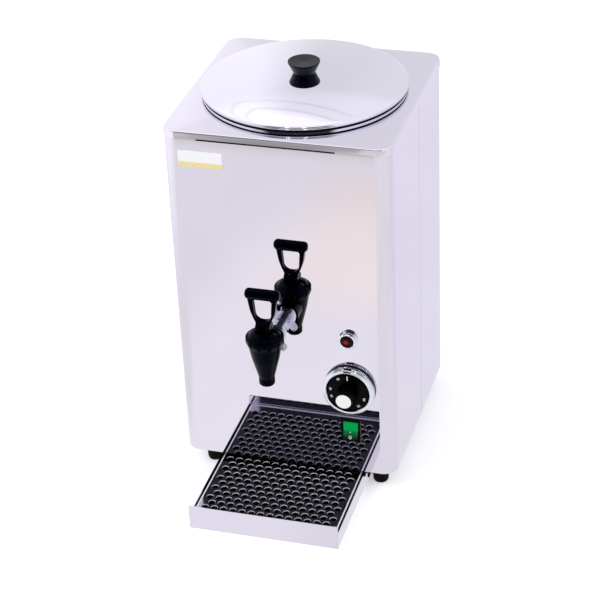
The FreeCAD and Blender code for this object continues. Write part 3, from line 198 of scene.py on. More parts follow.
# Hem: a satin white that paints the highlight along the grid's edges, so it looks pale from every side
HEM_PAINTED_HIGHLIGHT = plastic("hem_painted_highlight", "#FAFAFC", 0.35)

# Where the painted shade inside the tray ends in height, and how far in from its box its walls' inner faces
# lie, in metres
TRAY_SHADE_EDGE = (0.0192, 0.0198)
INNER_FACE = (0.0008, 0.0010)


def tray_steel():
    """The folded tray: polished outside, and dull under the grid, where painted shade makes it dark."""
    material = new_material("tray_sheet_painted_shade")
    tree = material.node_tree
    where = place_of(tree)
    split = add_node(tree, "ShaderNodeSeparateXYZ", {0: where})
    near, far = low("tray_body") * MM, high("tray_body") * MM
    # Painted shade: low down and inside the walls the sheet is coloured dark, as the shade under the grid.
    level = spread(tree, split.outputs["Z"], 1.0, 0.0, *TRAY_SHADE_EDGE)
    outside, inside = INNER_FACE
    for axis, edge, other in (("X", near.x, far.x), ("Y", near.y, far.y)):
        for start, end, first, last in ((edge + outside, edge + inside, 0.0, 1.0),
                                        (other - inside, other - outside, 1.0, 0.0)):
            within = spread(tree, split.outputs[axis], first, last, start, end)
            level = add_node(tree, "ShaderNodeMath", {0: level, 1: within}, operation="MULTIPLY").outputs[0]
    colour = add_node(tree, "ShaderNodeMix", {0: level}, data_type="RGBA", in_6=linear("#DAD6E6"),
                      in_7=linear("#1A1A1C"))
    smear = spread(tree, noise(tree, where, SMEAR_SIZE, 4.0), 0.05, 0.10)
    rough = add_node(tree, "ShaderNodeMath", {0: smear, 1: level}, operation="MAXIMUM")
    links = {"Base Color": colour.outputs[2], "Roughness": rough.outputs[0]}
    return finish_surface(material, add_node(tree, "ShaderNodeBsdfPrincipled", links, in_Metallic=1.0))


def set_material(name, material):
    node = NODES[name]
    node.data.materials.clear()
    node.data.materials.append(material)


NODE_FINISHES = {
    MIRROR_SHEET: ("front_shell", "rear_shell", "label_plate"),
    COVER_SHEET: ("top_plate", "pot_flange"),
    LID_SHEET: ("lid",),
    GRID_SHEET: ("drip_grid", "grid_frame"),
    DULL_SHEET: ("milk_pot", "pot_floor", "water_bath", "base_plate", "seam_strip_left",
                 "seam_strip_right", "lid_screw", "return_spring", "thermostat_shaft", "heating_element",
                 "foot_screws"),
    CHROME: ("shank", "wing_nut", "panel_washer", "pot_nut", "dial_bezel", "lamp_bezel"),
    SPUN_CAP: ("dial_cap",),
    BRASS: ("panel_nut", "thermostat_bulb", "bulb_nut", "heater_nuts"),
    PHENOLIC: ("tap_body", "bonnet", "tap_lever", "valve_stem", "lever_pin"),
    KNOB_PLASTIC: ("lid_knob",),
    DIAL_PLASTIC: ("dial_knob",),
    FRAME_PLASTIC: ("switch_housing", "lamp_body", "lamp_nut", "cable_gland", "gland_nut",
                    "tray_guide_left", "tray_guide_right"),
    # The front rail's black rubber is painted shade: it stands for the shade under the casing's front edge.
    RUBBER: ("foot_front_left", "foot_front_right", "foot_rear_left", "foot_rear_right", "front_rail"),
    SILICONE: ("pot_seal", "seat_cup"),
    CERAMIC: ("thermostat_control", "safety_thermostat", "terminal_block"),
    FELT: ("felt_jacket",),
}
for finish, names in NODE_FINISHES.items():
    for name in names:
        set_material(name, finish)
set_material("tray_body", tray_steel())


# Shapes. Their sizes are in millimetres and become metres in make_piece.

# A face stands upright where the height part of its direction is less than this
UPRIGHT = 0.6


def make_piece(name, shape, material, body, replaced=(), crease=35, edges=None):
    """Makes an object of a shape drawn in millimetres, and lets it ride on a body. Its edges, which are the
    faces that stand upright, can have a material of their own."""
    bmesh.ops.remove_doubles(shape, verts=shape.verts, dist=1e-3)
    bmesh.ops.recalc_face_normals(shape, faces=shape.faces)
    bmesh.ops.scale(shape, vec=(MM, MM, MM), verts=shape.verts)
    for face in shape.faces:
        face.smooth = True
    mesh = bpy.data.meshes.new(name)
    shape.to_mesh(mesh)
    shape.free()
    mesh.set_sharp_from_angle(angle=math.radians(crease))
    mesh.materials.append(material)
    if edges:
        mesh.materials.append(edges)
        for face in mesh.polygons:
            face.material_index = int(abs(face.normal.z) < UPRIGHT)
    piece = bpy.data.objects.new(name, mesh)
    bpy.context.collection.objects.link(piece)
    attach(piece, body)
    if replaced:
        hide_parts(*replaced)


def bridge(shape, first, second):
    """Joins two closed rows of vertices with a band of faces."""
    for i in range(len(first)):
        j = (i + 1) % len(first)
        shape.faces.new((first[i], first[j], second[j], second[i]))


def arc(radius, height, bend, start, end, steps):
    """Profile points round a bend, from start to end degrees, where 0 is upwards and 90 outwards."""
    turns = [math.radians(start + (end - start) * i / steps) for i in range(steps + 1)]
    return [(radius + bend * math.sin(t), height + bend * math.cos(t)) for t in turns]


def lathe(profile, centre, steps=128, forward=False, closed=True, ripple=None):
    """Turns a profile of radius and height about an upright axis, or about one that faces forward.
    A ripple is a count and depth of ribs and the range of heights that they cover."""
    shape = bmesh.new()
    rows = []
    for radius, height in profile:
        row = []
        for i in range(steps):
            turn = 2 * math.pi * i / steps
            reach = radius
            if ripple and ripple[2] <= height <= ripple[3]:
                reach += ripple[1] * (math.cos(turn * ripple[0]) - 1) / 2
            x, y = reach * math.cos(turn), reach * math.sin(turn)
            way = Vector((x, -height, y) if forward else (x, y, height))
            row.append(shape.verts.new(Vector(centre) + way))
        rows.append(row)
    for first, second in zip(rows, rows[1:] + rows[:1] if closed else rows[1:]):
        bridge(shape, first, second)
    return shape


def rounded_loop(x0, x1, y0, y1, corner, inset, steps=8, cuts=12, stops=()):
    """Points round a rectangle with rounded corners, pulled in by inset, from its near left corner.
    Its sides have cuts, and the near side has stops at given x too."""
    points = []
    bend = max(corner - inset, 0.01)
    wide, deep = x1 - x0 - 2 * corner, y1 - y0 - 2 * corner
    counts = range(1, cuts)
    near = sorted({round(x0 + corner + wide * i / cuts, 3) for i in counts} | set(stops))
    sides = [
        (x0 + corner, y0 + corner, 180, [(x, y0 + inset) for x in near]),
        (x1 - corner, y0 + corner, 270, [(x1 - inset, y0 + corner + deep * i / cuts) for i in counts]),
        (x1 - corner, y1 - corner, 0, [(x1 - corner - wide * i / cuts, y1 - inset) for i in counts]),
        (x0 + corner, y1 - corner, 90, [(x0 + inset, y1 - corner - deep * i / cuts) for i in counts]),
    ]
    for cx, cy, start, side in sides:
        for i in range(steps + 1):
            turn = math.radians(start + 90 * i / steps)
            points.append((cx + bend * math.cos(turn), cy + bend * math.sin(turn)))
        points += side
    return points


# Cover: the pressed top plate, whose rim leans in and rolls over into the top

NOTCH = (-96.0, 76.0)
NOTCH_DEEP = 2.4
# What lies nearer than this is on the front side
FRONT_SIDE = -80
COVER_CORNER = 20.0
COVER_WALL = 1.0
MOUTH_RADIUS = 115.5
# How far the rim's foot is rounded, and how far it leans in up to the notch's top
FOOT_ROUND = 0.3
FOOT_LEAN = 0.05
# The rim's lean in degrees above the notch, at its foot and where it starts to roll over
LEAN = (3.0, 12.0)
LEAN_STEPS = 7
FOLD = 1.5
FOLD_STEPS = 6
plate_low, plate_high = low("top_plate"), high("top_plate")
pot_centre = middle("milk_pot")
notch_top = plate_low.z + NOTCH_DEEP


def rim_face():
    """Insets and heights up the rim's outer face, until it has rolled over into the top."""
    lean_low, lean_high = LEAN
    steepest = math.radians(lean_high)
    fold_start = plate_high.z - FOLD * (1 - math.sin(steepest))
    rise = (fold_start - notch_top) / LEAN_STEPS
    inset, height = FOOT_LEAN, notch_top
    face = [(FOOT_ROUND, plate_low.z), (0.0, plate_low.z + FOOT_ROUND), (inset, height)]
    for i in range(LEAN_STEPS):
        lean = lean_low + (lean_high - lean_low) * (i + 0.5) / LEAN_STEPS
        inset, height = inset + rise * math.tan(math.radians(lean)), height + rise
        face.append((inset, height))
    for i in range(1, FOLD_STEPS + 1):
        lean = math.radians(lean_high + (90 - lean_high) * i / FOLD_STEPS)
        face.append((inset + FOLD * (math.cos(steepest) - math.cos(lean)),
                     fold_start + FOLD * (math.sin(lean) - math.sin(steepest))))
    return face


def cover_plate():
    shape = bmesh.new()
    face = rim_face()
    half_up = face[6]
    under = [(face[-1][0] + 0.6, plate_high.z - COVER_WALL), (half_up[0] + COVER_WALL, half_up[1] - 0.4),
             (COVER_WALL + FOOT_LEAN, notch_top), (COVER_WALL, plate_low.z)]

    def outline(inset):
        return rounded_loop(plate_low.x, plate_high.x, plate_low.y, plate_high.y, COVER_CORNER, inset,
                            stops=NOTCH)

    def row(inset, height):
        return [shape.verts.new((x, y, height)) for x, y in outline(inset)]

    def mouth(height):
        """A row round the pot's mouth, in line with the outline's points."""
        ways = [Vector((x - pot_centre.x, y - pot_centre.y)).normalized() * MOUTH_RADIUS
                for x, y in outline(0)]
        return [shape.verts.new((pot_centre.x + way.x, pot_centre.y + way.y, height)) for way in ways]

    def at_notch(verts):
        return all(v.co.y < FRONT_SIDE and NOTCH[0] - 0.01 <= v.co.x <= NOTCH[1] + 0.01 for v in verts)

    outer = [row(*spot) for spot in face]
    inner = [row(*spot) for spot in under]
    rows = outer + [mouth(plate_high.z), mouth(plate_high.z - COVER_WALL)] + inner
    for first, second in zip(rows, rows[1:] + rows[:1]):
        bridge(shape, first, second)
    notch = [f for f in shape.faces if f.calc_center_median().z < notch_top and at_notch(f.verts)]
    bmesh.ops.delete(shape, geom=notch, context="FACES")
    front, back = outer[2], inner[2]
    for i in range(len(front)):
        j = (i + 1) % len(front)
        if at_notch((front[i], front[j])):
            shape.faces.new((front[i], front[j], back[j], back[i]))
    return shape


make_piece("cover_plate", cover_plate(), COVER_SHEET, "casing", ("top_plate",), crease=30)


# Lid: a shallow dome that ends in a rolled bead, over a black ring that paints the shade in the gap under
# the bead

LID_RADIUS = (high("lid").x - low("lid").x) / 2
LID_TOP = high("lid").z
LID_BASE = low("lid").z
BEAD = 2.9
BEAD_MIDDLE = LID_BASE + 5.5
LID_WALL = 1.0
SCREW_HOLE = 2.7
DOME_STEPS = 28


def dome(edge_radius, edge_height, top):
    """Profile points of a shallow dome from its screw hole to its edge."""
    rise = top - edge_height
    bend = (edge_radius ** 2 + rise ** 2) / (2 * rise)
    reaches = [SCREW_HOLE + (edge_radius - SCREW_HOLE) * i / DOME_STEPS for i in range(DOME_STEPS + 1)]
    return [(r, top - bend + math.sqrt(bend * bend - r * r)) for r in reaches]


bead_radius = LID_RADIUS - BEAD
edge = arc(bead_radius, BEAD_MIDDLE, BEAD, 11, 160, 14)
lid_profile = dome(*edge[0], LID_TOP)[:-1] + edge
lid_profile += [(bead_radius - 2.0, edge[-1][1] + 0.1), (bead_radius - 2.0, BEAD_MIDDLE + 1.2)]
lid_profile += dome(bead_radius - 2.5, BEAD_MIDDLE + 1.9, LID_TOP - LID_WALL)[::-1]
lid_centre = (middle("lid").x, middle("lid").y, 0)
make_piece("lid_dome", lathe(lid_profile, lid_centre, 224), LID_SHEET, "lid", ("lid",))
# Painted shade: a black ring under the bead stands for the dark gap between the lid and the cover.
ring_profile = [(bead_radius - 2.0, LID_BASE + 0.02), (LID_RADIUS - 1.9, LID_BASE + 0.02),
                (LID_RADIUS - 1.5, LID_BASE + 0.8), (LID_RADIUS - 1.6, edge[-1][1] - 0.05),
                (bead_radius - 2.0, edge[-1][1] - 0.05)]
make_piece("lid_shade_ring", lathe(ring_profile, lid_centre, 160), RUBBER, "lid")


# Drip grid: punched holes with a slight roll at their upper edges, and hems along three sides

HOLE_STEPS = 24
HOLE_RADIUS = 4.6
HOLE_ROLL = 0.22
ROLL_STEPS = 3
PITCH = 12.25
ROWS, COLUMNS = 16, 14
# How far the first row lies from the front edge, and how far the holes reach below the sheet
FIRST_ROW = 17.7
HOLE_FOOT = 0.25
grid_low, grid_high = low("drip_grid"), high("drip_grid")


def hole_centres():
    """Centres of the holes, in rows that lie half a pitch apart from each other sideways."""
    start = grid_low.y + FIRST_ROW
    step = PITCH * math.sqrt(3) / 2
    middle_x = middle("drip_grid").x
    return [(middle_x + (i - (COLUMNS - 1) / 2) * PITCH + (PITCH / 4 if row % 2 else -PITCH / 4),
             start + row * step) for row in range(ROWS) for i in range(COLUMNS)]


def ring_spots(centre, radius):
    """Points round a hole."""
    turns = [2 * math.pi * i / HOLE_STEPS for i in range(HOLE_STEPS)]
    return [(centre[0] + radius * math.cos(turn), centre[1] + radius * math.sin(turn)) for turn in turns]


def holed_sheet(shape, centres, radius, height):
    """Fills the grid's outline apart from its holes, and returns each hole's row of vertices."""
    points = [Vector(p) for p in ((grid_low.x, grid_low.y), (grid_high.x, grid_low.y),
                                  (grid_high.x, grid_high.y), (grid_low.x, grid_high.y))]
    links = [(0, 1), (1, 2), (2, 3), (3, 0)]
    for centre in centres:
        first = len(points)
        points += [Vector(spot) for spot in ring_spots(centre, radius)]
        links += [(first + i, first + (i + 1) % HOLE_STEPS) for i in range(HOLE_STEPS)]
    spots, _, faces, *_ = delaunay_2d_cdt(points, links, [], 0, 1e-5)
    made = [shape.verts.new((p.x, p.y, height)) for p in spots]
    owner = [-1] * 4 + [i // HOLE_STEPS for i in range(len(points) - 4)]
    for face in faces:
        owners = {owner[i] for i in face}
        if len(owners) > 1 or -1 in owners:
            shape.faces.new([made[i] for i in face])
    return [made[4 + k * HOLE_STEPS:4 + (k + 1) * HOLE_STEPS] for k in range(len(centres))]


def drip_grid():
    shape = bmesh.new()
    centres = hole_centres()
    top = holed_sheet(shape, centres, HOLE_RADIUS + HOLE_ROLL, grid_high.z)
    bottom = holed_sheet(shape, centres, HOLE_RADIUS, grid_low.z - HOLE_FOOT)
    for centre, last, lower in zip(centres, top, bottom):
        for k in range(1, ROLL_STEPS + 1):
            lean = math.radians(90 * k / ROLL_STEPS)
            reach = HOLE_RADIUS + HOLE_ROLL * (1 - math.sin(lean))
            level = grid_high.z - HOLE_ROLL * (1 - math.cos(lean))
            row = [shape.verts.new((x, y, level)) for x, y in ring_spots(centre, reach)]
            bridge(shape, last, row)
            last = row
        bridge(shape, last, lower)
    return shape


HEM = 1.1
HEM_DROP = 0.65
HEM_TURNS = [math.radians(t) for t in range(0, 360, 30)]
# How far round each end's quarter circle its rows lie
HEM_ENDS = (0.2, 0.6, 1.0, math.pi / 2)


def hem(start, end):
    """A rod with round ends that lies flat between two points."""
    start, end = Vector(start), Vector(end)
    along = (end - start).normalized()
    up = Vector((0, 0, 1))
    across = along.cross(up)
    whole = (end - start).length
    ends = [(HEM * (1 - math.cos(t)), math.sin(t)) for t in HEM_ENDS]
    shape = bmesh.new()
    rows = []
    for run, share in ends + [(whole - run, share) for run, share in ends[::-1]]:
        ways = [across * math.cos(t) + up * math.sin(t) for t in HEM_TURNS]
        rows.append([shape.verts.new(start + along * run + way * HEM * share) for way in ways])
    for first, second in zip(rows, rows[1:]):
        bridge(shape, first, second)
    shape.faces.new(rows[0])
    shape.faces.new(rows[-1])
    return shape


hem_low = grid_low + Vector((HEM, HEM, 0))
hem_high = grid_high - Vector((HEM, HEM, HEM_DROP))
# The hems' white is a painted highlight along the grid's left, right and front edges.
for side, start, end in (("left", (hem_low.x, hem_low.y), (hem_low.x, hem_high.y)),
                         ("right", (hem_high.x, hem_low.y), (hem_high.x, hem_high.y)),
                         ("front", (hem_low.x, hem_low.y), (hem_high.x, hem_low.y))):
    make_piece("grid_hem_" + side, hem((*start, hem_high.z), (*end, hem_high.z)), HEM_PAINTED_HIGHLIGHT, "grid")
make_piece("punched_grid", drip_grid(), GRID_SHEET, "grid", ("drip_grid",), 14,
           SHEARED_EDGE)


# Label: a blank white sticker with a pale yellow foot

# The shares of the label's height between which the yellow fades
YELLOW_ENDS = (0.28, 0.36)


def label_vinyl():
    """Printed vinyl: white and smooth, with a yellow band that fades upwards."""
    material = new_material("printed_vinyl")
    tree = material.node_tree
    where = place_of(tree)
    height = add_node(tree, "ShaderNodeSeparateXYZ", {0: where}).outputs["Z"]
    foot, top = low("label_plate").z * MM, high("label_plate").z * MM
    full, gone = (foot + share * (top - foot) for share in YELLOW_ENDS)
    fade = spread(tree, height, 1.0, 0.0, full, gone, "SMOOTHSTEP")
    colour = add_node(tree, "ShaderNodeMix", {0: fade}, data_type="RGBA", in_6=linear("#FFFFFF"),
                      in_7=linear("#F8E6A6"))
    rough = spread(tree, noise(tree, where, 0.006), 0.3, 0.42)
    links = {"Base Color": colour.outputs[2], "Roughness": rough}
    shader = add_node(tree, "ShaderNodeBsdfPrincipled", links, in_Specular_IOR_Level=0.5)
    return finish_surface(material, shader)


def flat_plate(x0, x1, z0, z1, corner, back, front, edge=0.15):
    """A thin plate that faces forward, with rounded corners and softened edges."""
    shape = bmesh.new()
    rows = []
    for inset, y in ((0, back), (0, front + edge), (edge, front)):
        loop = rounded_loop(x0, x1, z0, z1, corner, inset, 5, 2)
        rows.append([shape.verts.new((x, y, z)) for x, z in loop])
    for first, second in zip(rows, rows[1:]):
        bridge(shape, first, second)
    shape.faces.new(rows[0])
    shape.faces.new(rows[-1])
    return shape


label_low, label_high = low("label_plate"), high("label_plate")
label_shape = flat_plate(label_low.x, label_high.x, label_low.z, label_high.z, 1.2, label_high.y,
                         label_low.y)
make_piece("blank_label", label_shape, label_vinyl(), "casing", ("label_plate",))


# Dial: ribbed chrome ring over a black ring that paints the shade of the gap behind it, printed figures,
# index line

dial_axis = (middle("dial_bezel").x, high("dial_bezel").y, middle("dial_bezel").z)
RING_DEEP = high("dial_bezel").y - low("dial_bezel").y
RING_RADIUS = (high("dial_bezel").x - low("dial_bezel").x) / 2
RING_HOLE = 27.9
DIAL_SHADE_RING_THICK = 2.0
# Count and depth of the ring's ribs, and how far below its face they end
RIBS, RIB_DEEP, RIB_END = 110, 0.5, 4.4
# The ring's face from its edge to its hole: how far in or out each spot is, and how far down
RING_OUTER = ((0, 4.5), (0.3, 4.0), (0.9, 3.4), (0.9, 2.4))
RING_INNER = ((1.5, 0.4), (1.2, 1.0), (0.9, 0.5), (0.4, 0.3), (0, 0.8))
ring_face = [(RING_RADIUS, DIAL_SHADE_RING_THICK)]
ring_face += [(RING_RADIUS - inwards, RING_DEEP - down) for inwards, down in RING_OUTER]
ring_face += arc(RING_RADIUS - 2.5, RING_DEEP - 1.9, 1.6, 90, 0, 6)
ring_face += [(RING_RADIUS - 3.6, RING_DEEP - 0.35)]
ring_face += [(RING_HOLE + outwards, RING_DEEP - down) for outwards, down in RING_INNER]
ring_face += [(RING_HOLE, DIAL_SHADE_RING_THICK)]
ring_shape = lathe(ring_face, dial_axis, 660, forward=True,
                   ripple=(RIBS, RIB_DEEP, DIAL_SHADE_RING_THICK, RING_DEEP - RIB_END))
make_piece("dial_ring", ring_shape, CHROME, "casing", ("dial_bezel",), crease=30)
# Painted shade: a black ring behind the chrome ring stands for the dark gap round the ring's foot.
DIAL_SHADE_RING = [(14, 0), (RING_RADIUS, 0), (RING_RADIUS, DIAL_SHADE_RING_THICK - 0.4), (RING_RADIUS - 0.4, DIAL_SHADE_RING_THICK),
          (14, DIAL_SHADE_RING_THICK)]
make_piece("dial_shade_ring", lathe(DIAL_SHADE_RING, dial_axis, 96, forward=True), RUBBER, "casing")


def mark_bar(rise, wide, tall, front, thick=0.12):
    """A printed dash above the dial's axis that faces forward."""
    x, z = dial_axis[0], dial_axis[2] + rise
    return flat_plate(x - wide / 2, x + wide / 2, z - tall / 2, z + tall / 2, min(wide, tall) * 0.3,
                      front + thick, front, min(thick / 2, 0.1))


RING_FRONT = dial_axis[1] - RING_DEEP
MARK_WIDE = 9.8
make_piece("ring_mark_low", mark_bar(30.4, MARK_WIDE, 1.7, RING_FRONT + 0.02, 0.9), PRINT_BLACK, "casing")
make_piece("ring_mark_high", mark_bar(32.9, MARK_WIDE, 1.6, RING_FRONT + 2.6, 2.0), PRINT_BLACK, "casing")

DISC_FACE = dial_axis[1] - 10.7
INK = 0.06
FIGURE_TALL = 4.4
FIGURE_RADIUS = 22.2
FIGURE_TURNS = (110, 82, 32, -108, -142)


def figures():
    """The dial's figures, set round the disc with their tops outwards."""
    shape = bmesh.new()
    for i, place in enumerate(FIGURE_TURNS):
        text = bpy.data.curves.new("figure", "FONT")
        text.body = str(30 + 10 * i)
        text.size = FIGURE_TALL
        text.align_x, text.align_y = "CENTER", "CENTER"
        text.extrude = INK
        text.offset = 0.09
        holder = bpy.data.objects.new("figure", text)
        mesh = bpy.data.meshes.new_from_object(holder)
        turn = math.radians(place)
        out = Vector((-math.sin(turn), math.cos(turn)))
        for vertex in mesh.vertices:
            x, z = vertex.co.x, vertex.co.y
            vertex.co = (dial_axis[0] + out.x * FIGURE_RADIUS + x * out.y + z * out.x,
                         DISC_FACE - INK - vertex.co.z,
                         dial_axis[2] + out.y * FIGURE_RADIUS - x * out.x + z * out.y)
        shape.from_mesh(mesh)
        bpy.data.objects.remove(holder)
        bpy.data.curves.remove(text)
        bpy.data.meshes.remove(mesh)
    return shape


make_piece("dial_figures", figures(), PRINT_WHITE, "dial")
make_piece("dial_index", mark_bar(21.3, 1.5, 6.6, DISC_FACE - 0.1), PRINT_WHITE, "dial")


# Pilot lamp: a red dome with a lit core

def red_lens():
    """Clear red acrylic: nearly black at its edge, with the lamp's glow behind its middle."""
    material = new_material("red_acrylic")
    tree = material.node_tree
    axis = middle("lamp_lens") * MM
    where = add_node(tree, "ShaderNodeTexCoord").outputs["Object"]
    core = (axis.x - 0.0012, axis.y, axis.z - 0.0008)
    away = add_node(tree, "ShaderNodeVectorMath", {0: where}, operation="SUBTRACT", in_1=core)
    flat = add_node(tree, "ShaderNodeVectorMath", {0: away.outputs[0]}, operation="MULTIPLY",
                    in_1=(1, 0, 1))
    reach = add_node(tree, "ShaderNodeVectorMath", {0: flat.outputs[0]}, operation="LENGTH")
    glow = spread(tree, reach.outputs["Value"], 0.5, 0.0, 0.0002, 0.0046, "SMOOTHSTEP")
    shader = add_node(tree, "ShaderNodeBsdfPrincipled", {"Emission Strength": glow},
                      in_Base_Color=linear("#1C0004"), in_Emission_Color=linear("#E8182C"),
                      in_Roughness=0.05, in_Specular_IOR_Level=0.12)
    return finish_surface(material, shader)


lens_axis = (middle("lamp_lens").x, high("lamp_lens").y, middle("lamp_lens").z)
LENS_RADIUS = (high("lamp_lens").x - low("lamp_lens").x) / 2 - 0.05
LENS_DEEP = high("lamp_lens").y - low("lamp_lens").y
# How much the dome rises from its edge, and how far its top stands out from the solid's
LENS_CROWN = 2.2
LENS_PROUD = 0.6
lens_bend = (LENS_RADIUS ** 2 + LENS_CROWN ** 2) / (2 * LENS_CROWN)
lens_profile = [(LENS_RADIUS, 0.05), (LENS_RADIUS, LENS_DEEP + LENS_PROUD - LENS_CROWN)]
for step in range(11):
    reach = LENS_RADIUS * math.sin(math.radians(90 - 9 * step))
    drop = lens_bend - math.sqrt(lens_bend ** 2 - reach ** 2)
    lens_profile.append((reach, LENS_DEEP + LENS_PROUD - drop))
lens_shape = lathe(lens_profile, lens_axis, 64, forward=True, closed=False)
make_piece("lamp_dome", lens_shape, red_lens(), "casing", ("lamp_lens",))


# Rocker: green plastic with painted light on its upper half and painted shade on its lower half, and its
# marks

def green_rocker():
    """Green polycarbonate: its upper half carries a painted glow as if lit, and its lower half painted
    shade, darker towards its foot.
    """
    material = new_material("green_polycarbonate_painted_light")
    tree = material.node_tree
    where = place_of(tree)
    height = add_node(tree, "ShaderNodeSeparateXYZ", {0: where}).outputs["Z"]
    centre = middle("switch_rocker").z * MM
    bottom = low("switch_rocker").z * MM
    # Painted light: above the middle the rocker glows, and below it the green is painted darker towards the
    # foot as shade.
    glow = spread(tree, height, 0.0, 0.36, centre - 0.001, centre + 0.001, "SMOOTHSTEP")
    body = spread(tree, height, 0.0, 1.0, bottom + 0.002, centre, "SMOOTHSTEP")
    colour = add_node(tree, "ShaderNodeMix", {0: body}, data_type="RGBA", in_6=linear("#01140A"),
                      in_7=linear("#047A3C"))
    rough = spread(tree, noise(tree, where, 0.004), 0.14, 0.22)
    shader = add_node(tree, "ShaderNodeBsdfPrincipled", {"Roughness": rough, "Emission Strength": glow,
                                                         "Base Color": colour.outputs[2]},
                      in_Specular_IOR_Level=0.15, in_Emission_Color=linear("#06C060"))
    return finish_surface(material, shader)


set_material("switch_rocker", green_rocker())


def rocker_mark(x, z, outer, hole):
    """A printed ring or dot that lies where a line from the front meets the rocker at x and z."""
    bpy.context.view_layer.update()
    hit, spot, way, _ = NODES["switch_rocker"].ray_cast(Vector((x * MM, -1, z * MM)), Vector((0, 1, 0)))
    if not hit:
        raise RuntimeError("no rocker to print on at %s, %s" % (x, z))
    shape = lathe([(hole, 0.0), (outer, 0.0), (outer, 0.1), (hole, 0.1)], (0, 0, 0), 32)
    turn = Vector((0, 0, 1)).rotation_difference(way).to_matrix().to_4x4()
    bmesh.ops.transform(shape, matrix=Matrix.Translation(spot / MM) @ turn, verts=shape.verts)
    return shape


rocker_x = middle("switch_rocker").x
ring_z, dot_z = low("switch_rocker").z + 4.4, middle("switch_rocker").z - 1.8
make_piece("rocker_ring", rocker_mark(rocker_x, ring_z, 2.1, 1.25), PRINT_WHITE, "rocker")
make_piece("rocker_dot", rocker_mark(rocker_x - 0.6, dot_z, 0.75, 0.0), PRINT_WHITE, "rocker")


# Floor, light and camera

# Yaw, pitch and roll in degrees, place in metres and lens in millimetres
CAMERA_TURN = (17.4, 31.08, -2.61)
CAMERA_PLACE = (0.6552, -2.0953, 1.5461)
CAMERA_LENS = 120.01


def camera_from_photo():
    """The camera that the casing's corners and their mirror images in the panel give."""
    yaw, pitch, roll = (math.radians(angle) for angle in CAMERA_TURN)
    forward = Vector((-math.sin(yaw) * math.cos(pitch), math.cos(yaw) * math.cos(pitch), -math.sin(pitch)))
    level = Vector((math.cos(yaw), math.sin(yaw), 0))
    above = level.cross(forward)
    right = level * math.cos(roll) + above * math.sin(roll)
    up = above * math.cos(roll) - level * math.sin(roll)
    data = bpy.data.cameras.new("camera")
    data.sensor_width = 36
    data.lens = CAMERA_LENS
    data.clip_start = 0.1
    data.clip_end = 100
    camera = bpy.data.objects.new("camera", data)
    bpy.context.collection.objects.link(camera)
    turn = Matrix((right, up, -forward)).transposed().to_4x4()
    camera.matrix_world = Matrix.Translation(Vector(CAMERA_PLACE)) @ turn
    bpy.context.scene.camera = camera


def window(tree, source, start, full, fall, end):
    """1 between full and fall, 0 outside start and end, soft between."""
    rise = spread(tree, source, 0.0, 1.0, start, full, "SMOOTHSTEP")
    drop = spread(tree, source, 1.0, 0.0, fall, end, "SMOOTHSTEP")
    return add_node(tree, "ShaderNodeMath", {0: rise, 1: drop}, operation="MULTIPLY").outputs[0]


def both(tree, a, b, operation="MULTIPLY"):
    """Joins two measures by an operation."""
    return add_node(tree, "ShaderNodeMath", {0: a, 1: b}, operation=operation).outputs[0]


def area(tree, across, along, sides, ends):
    """1 inside an area with soft edges and 0 outside it: a window of each of two measures."""
    return both(tree, window(tree, across, *sides), window(tree, along, *ends))


def blended(tree, share, a, b):
    """Mixes two colours, each a node's output or a fixed colour."""
    node = add_node(tree, "ShaderNodeMix", {0: share}, data_type="RGBA")
    for index, colour in ((6, a), (7, b)):
        if isinstance(colour, tuple):
            node.inputs[index].default_value = colour
        else:
            tree.links.new(colour, node.inputs[index])
    return node.outputs[2]


# The paper as steel mirrors it. Areas are windows of x and of y in metres, and colours are linear.
PAPER_NEAR = (1.02, 1.0, 0.985, 1)
PAPER_BEHIND = (0.96, 0.94, 1.03, 1)
BRIGHT_AREA = ((-0.32, -0.18, -0.02, 0.12), (-0.96, -0.64, 0.0, 0.2))
BRIGHT_GAIN = 0.125
CREAM_AREA = ((-0.24, -0.1, 0.1, 0.2), (-1.0, -0.88, -0.62, -0.42))
CREAM = (1.085, 1.0, 0.89, 1)
WARM_AREA = ((-0.8, -0.62, -0.12, 0.04), (-1.4, -1.15, -1.06, -0.95))
WARM = (0.63, 0.63, 0.5, 1)


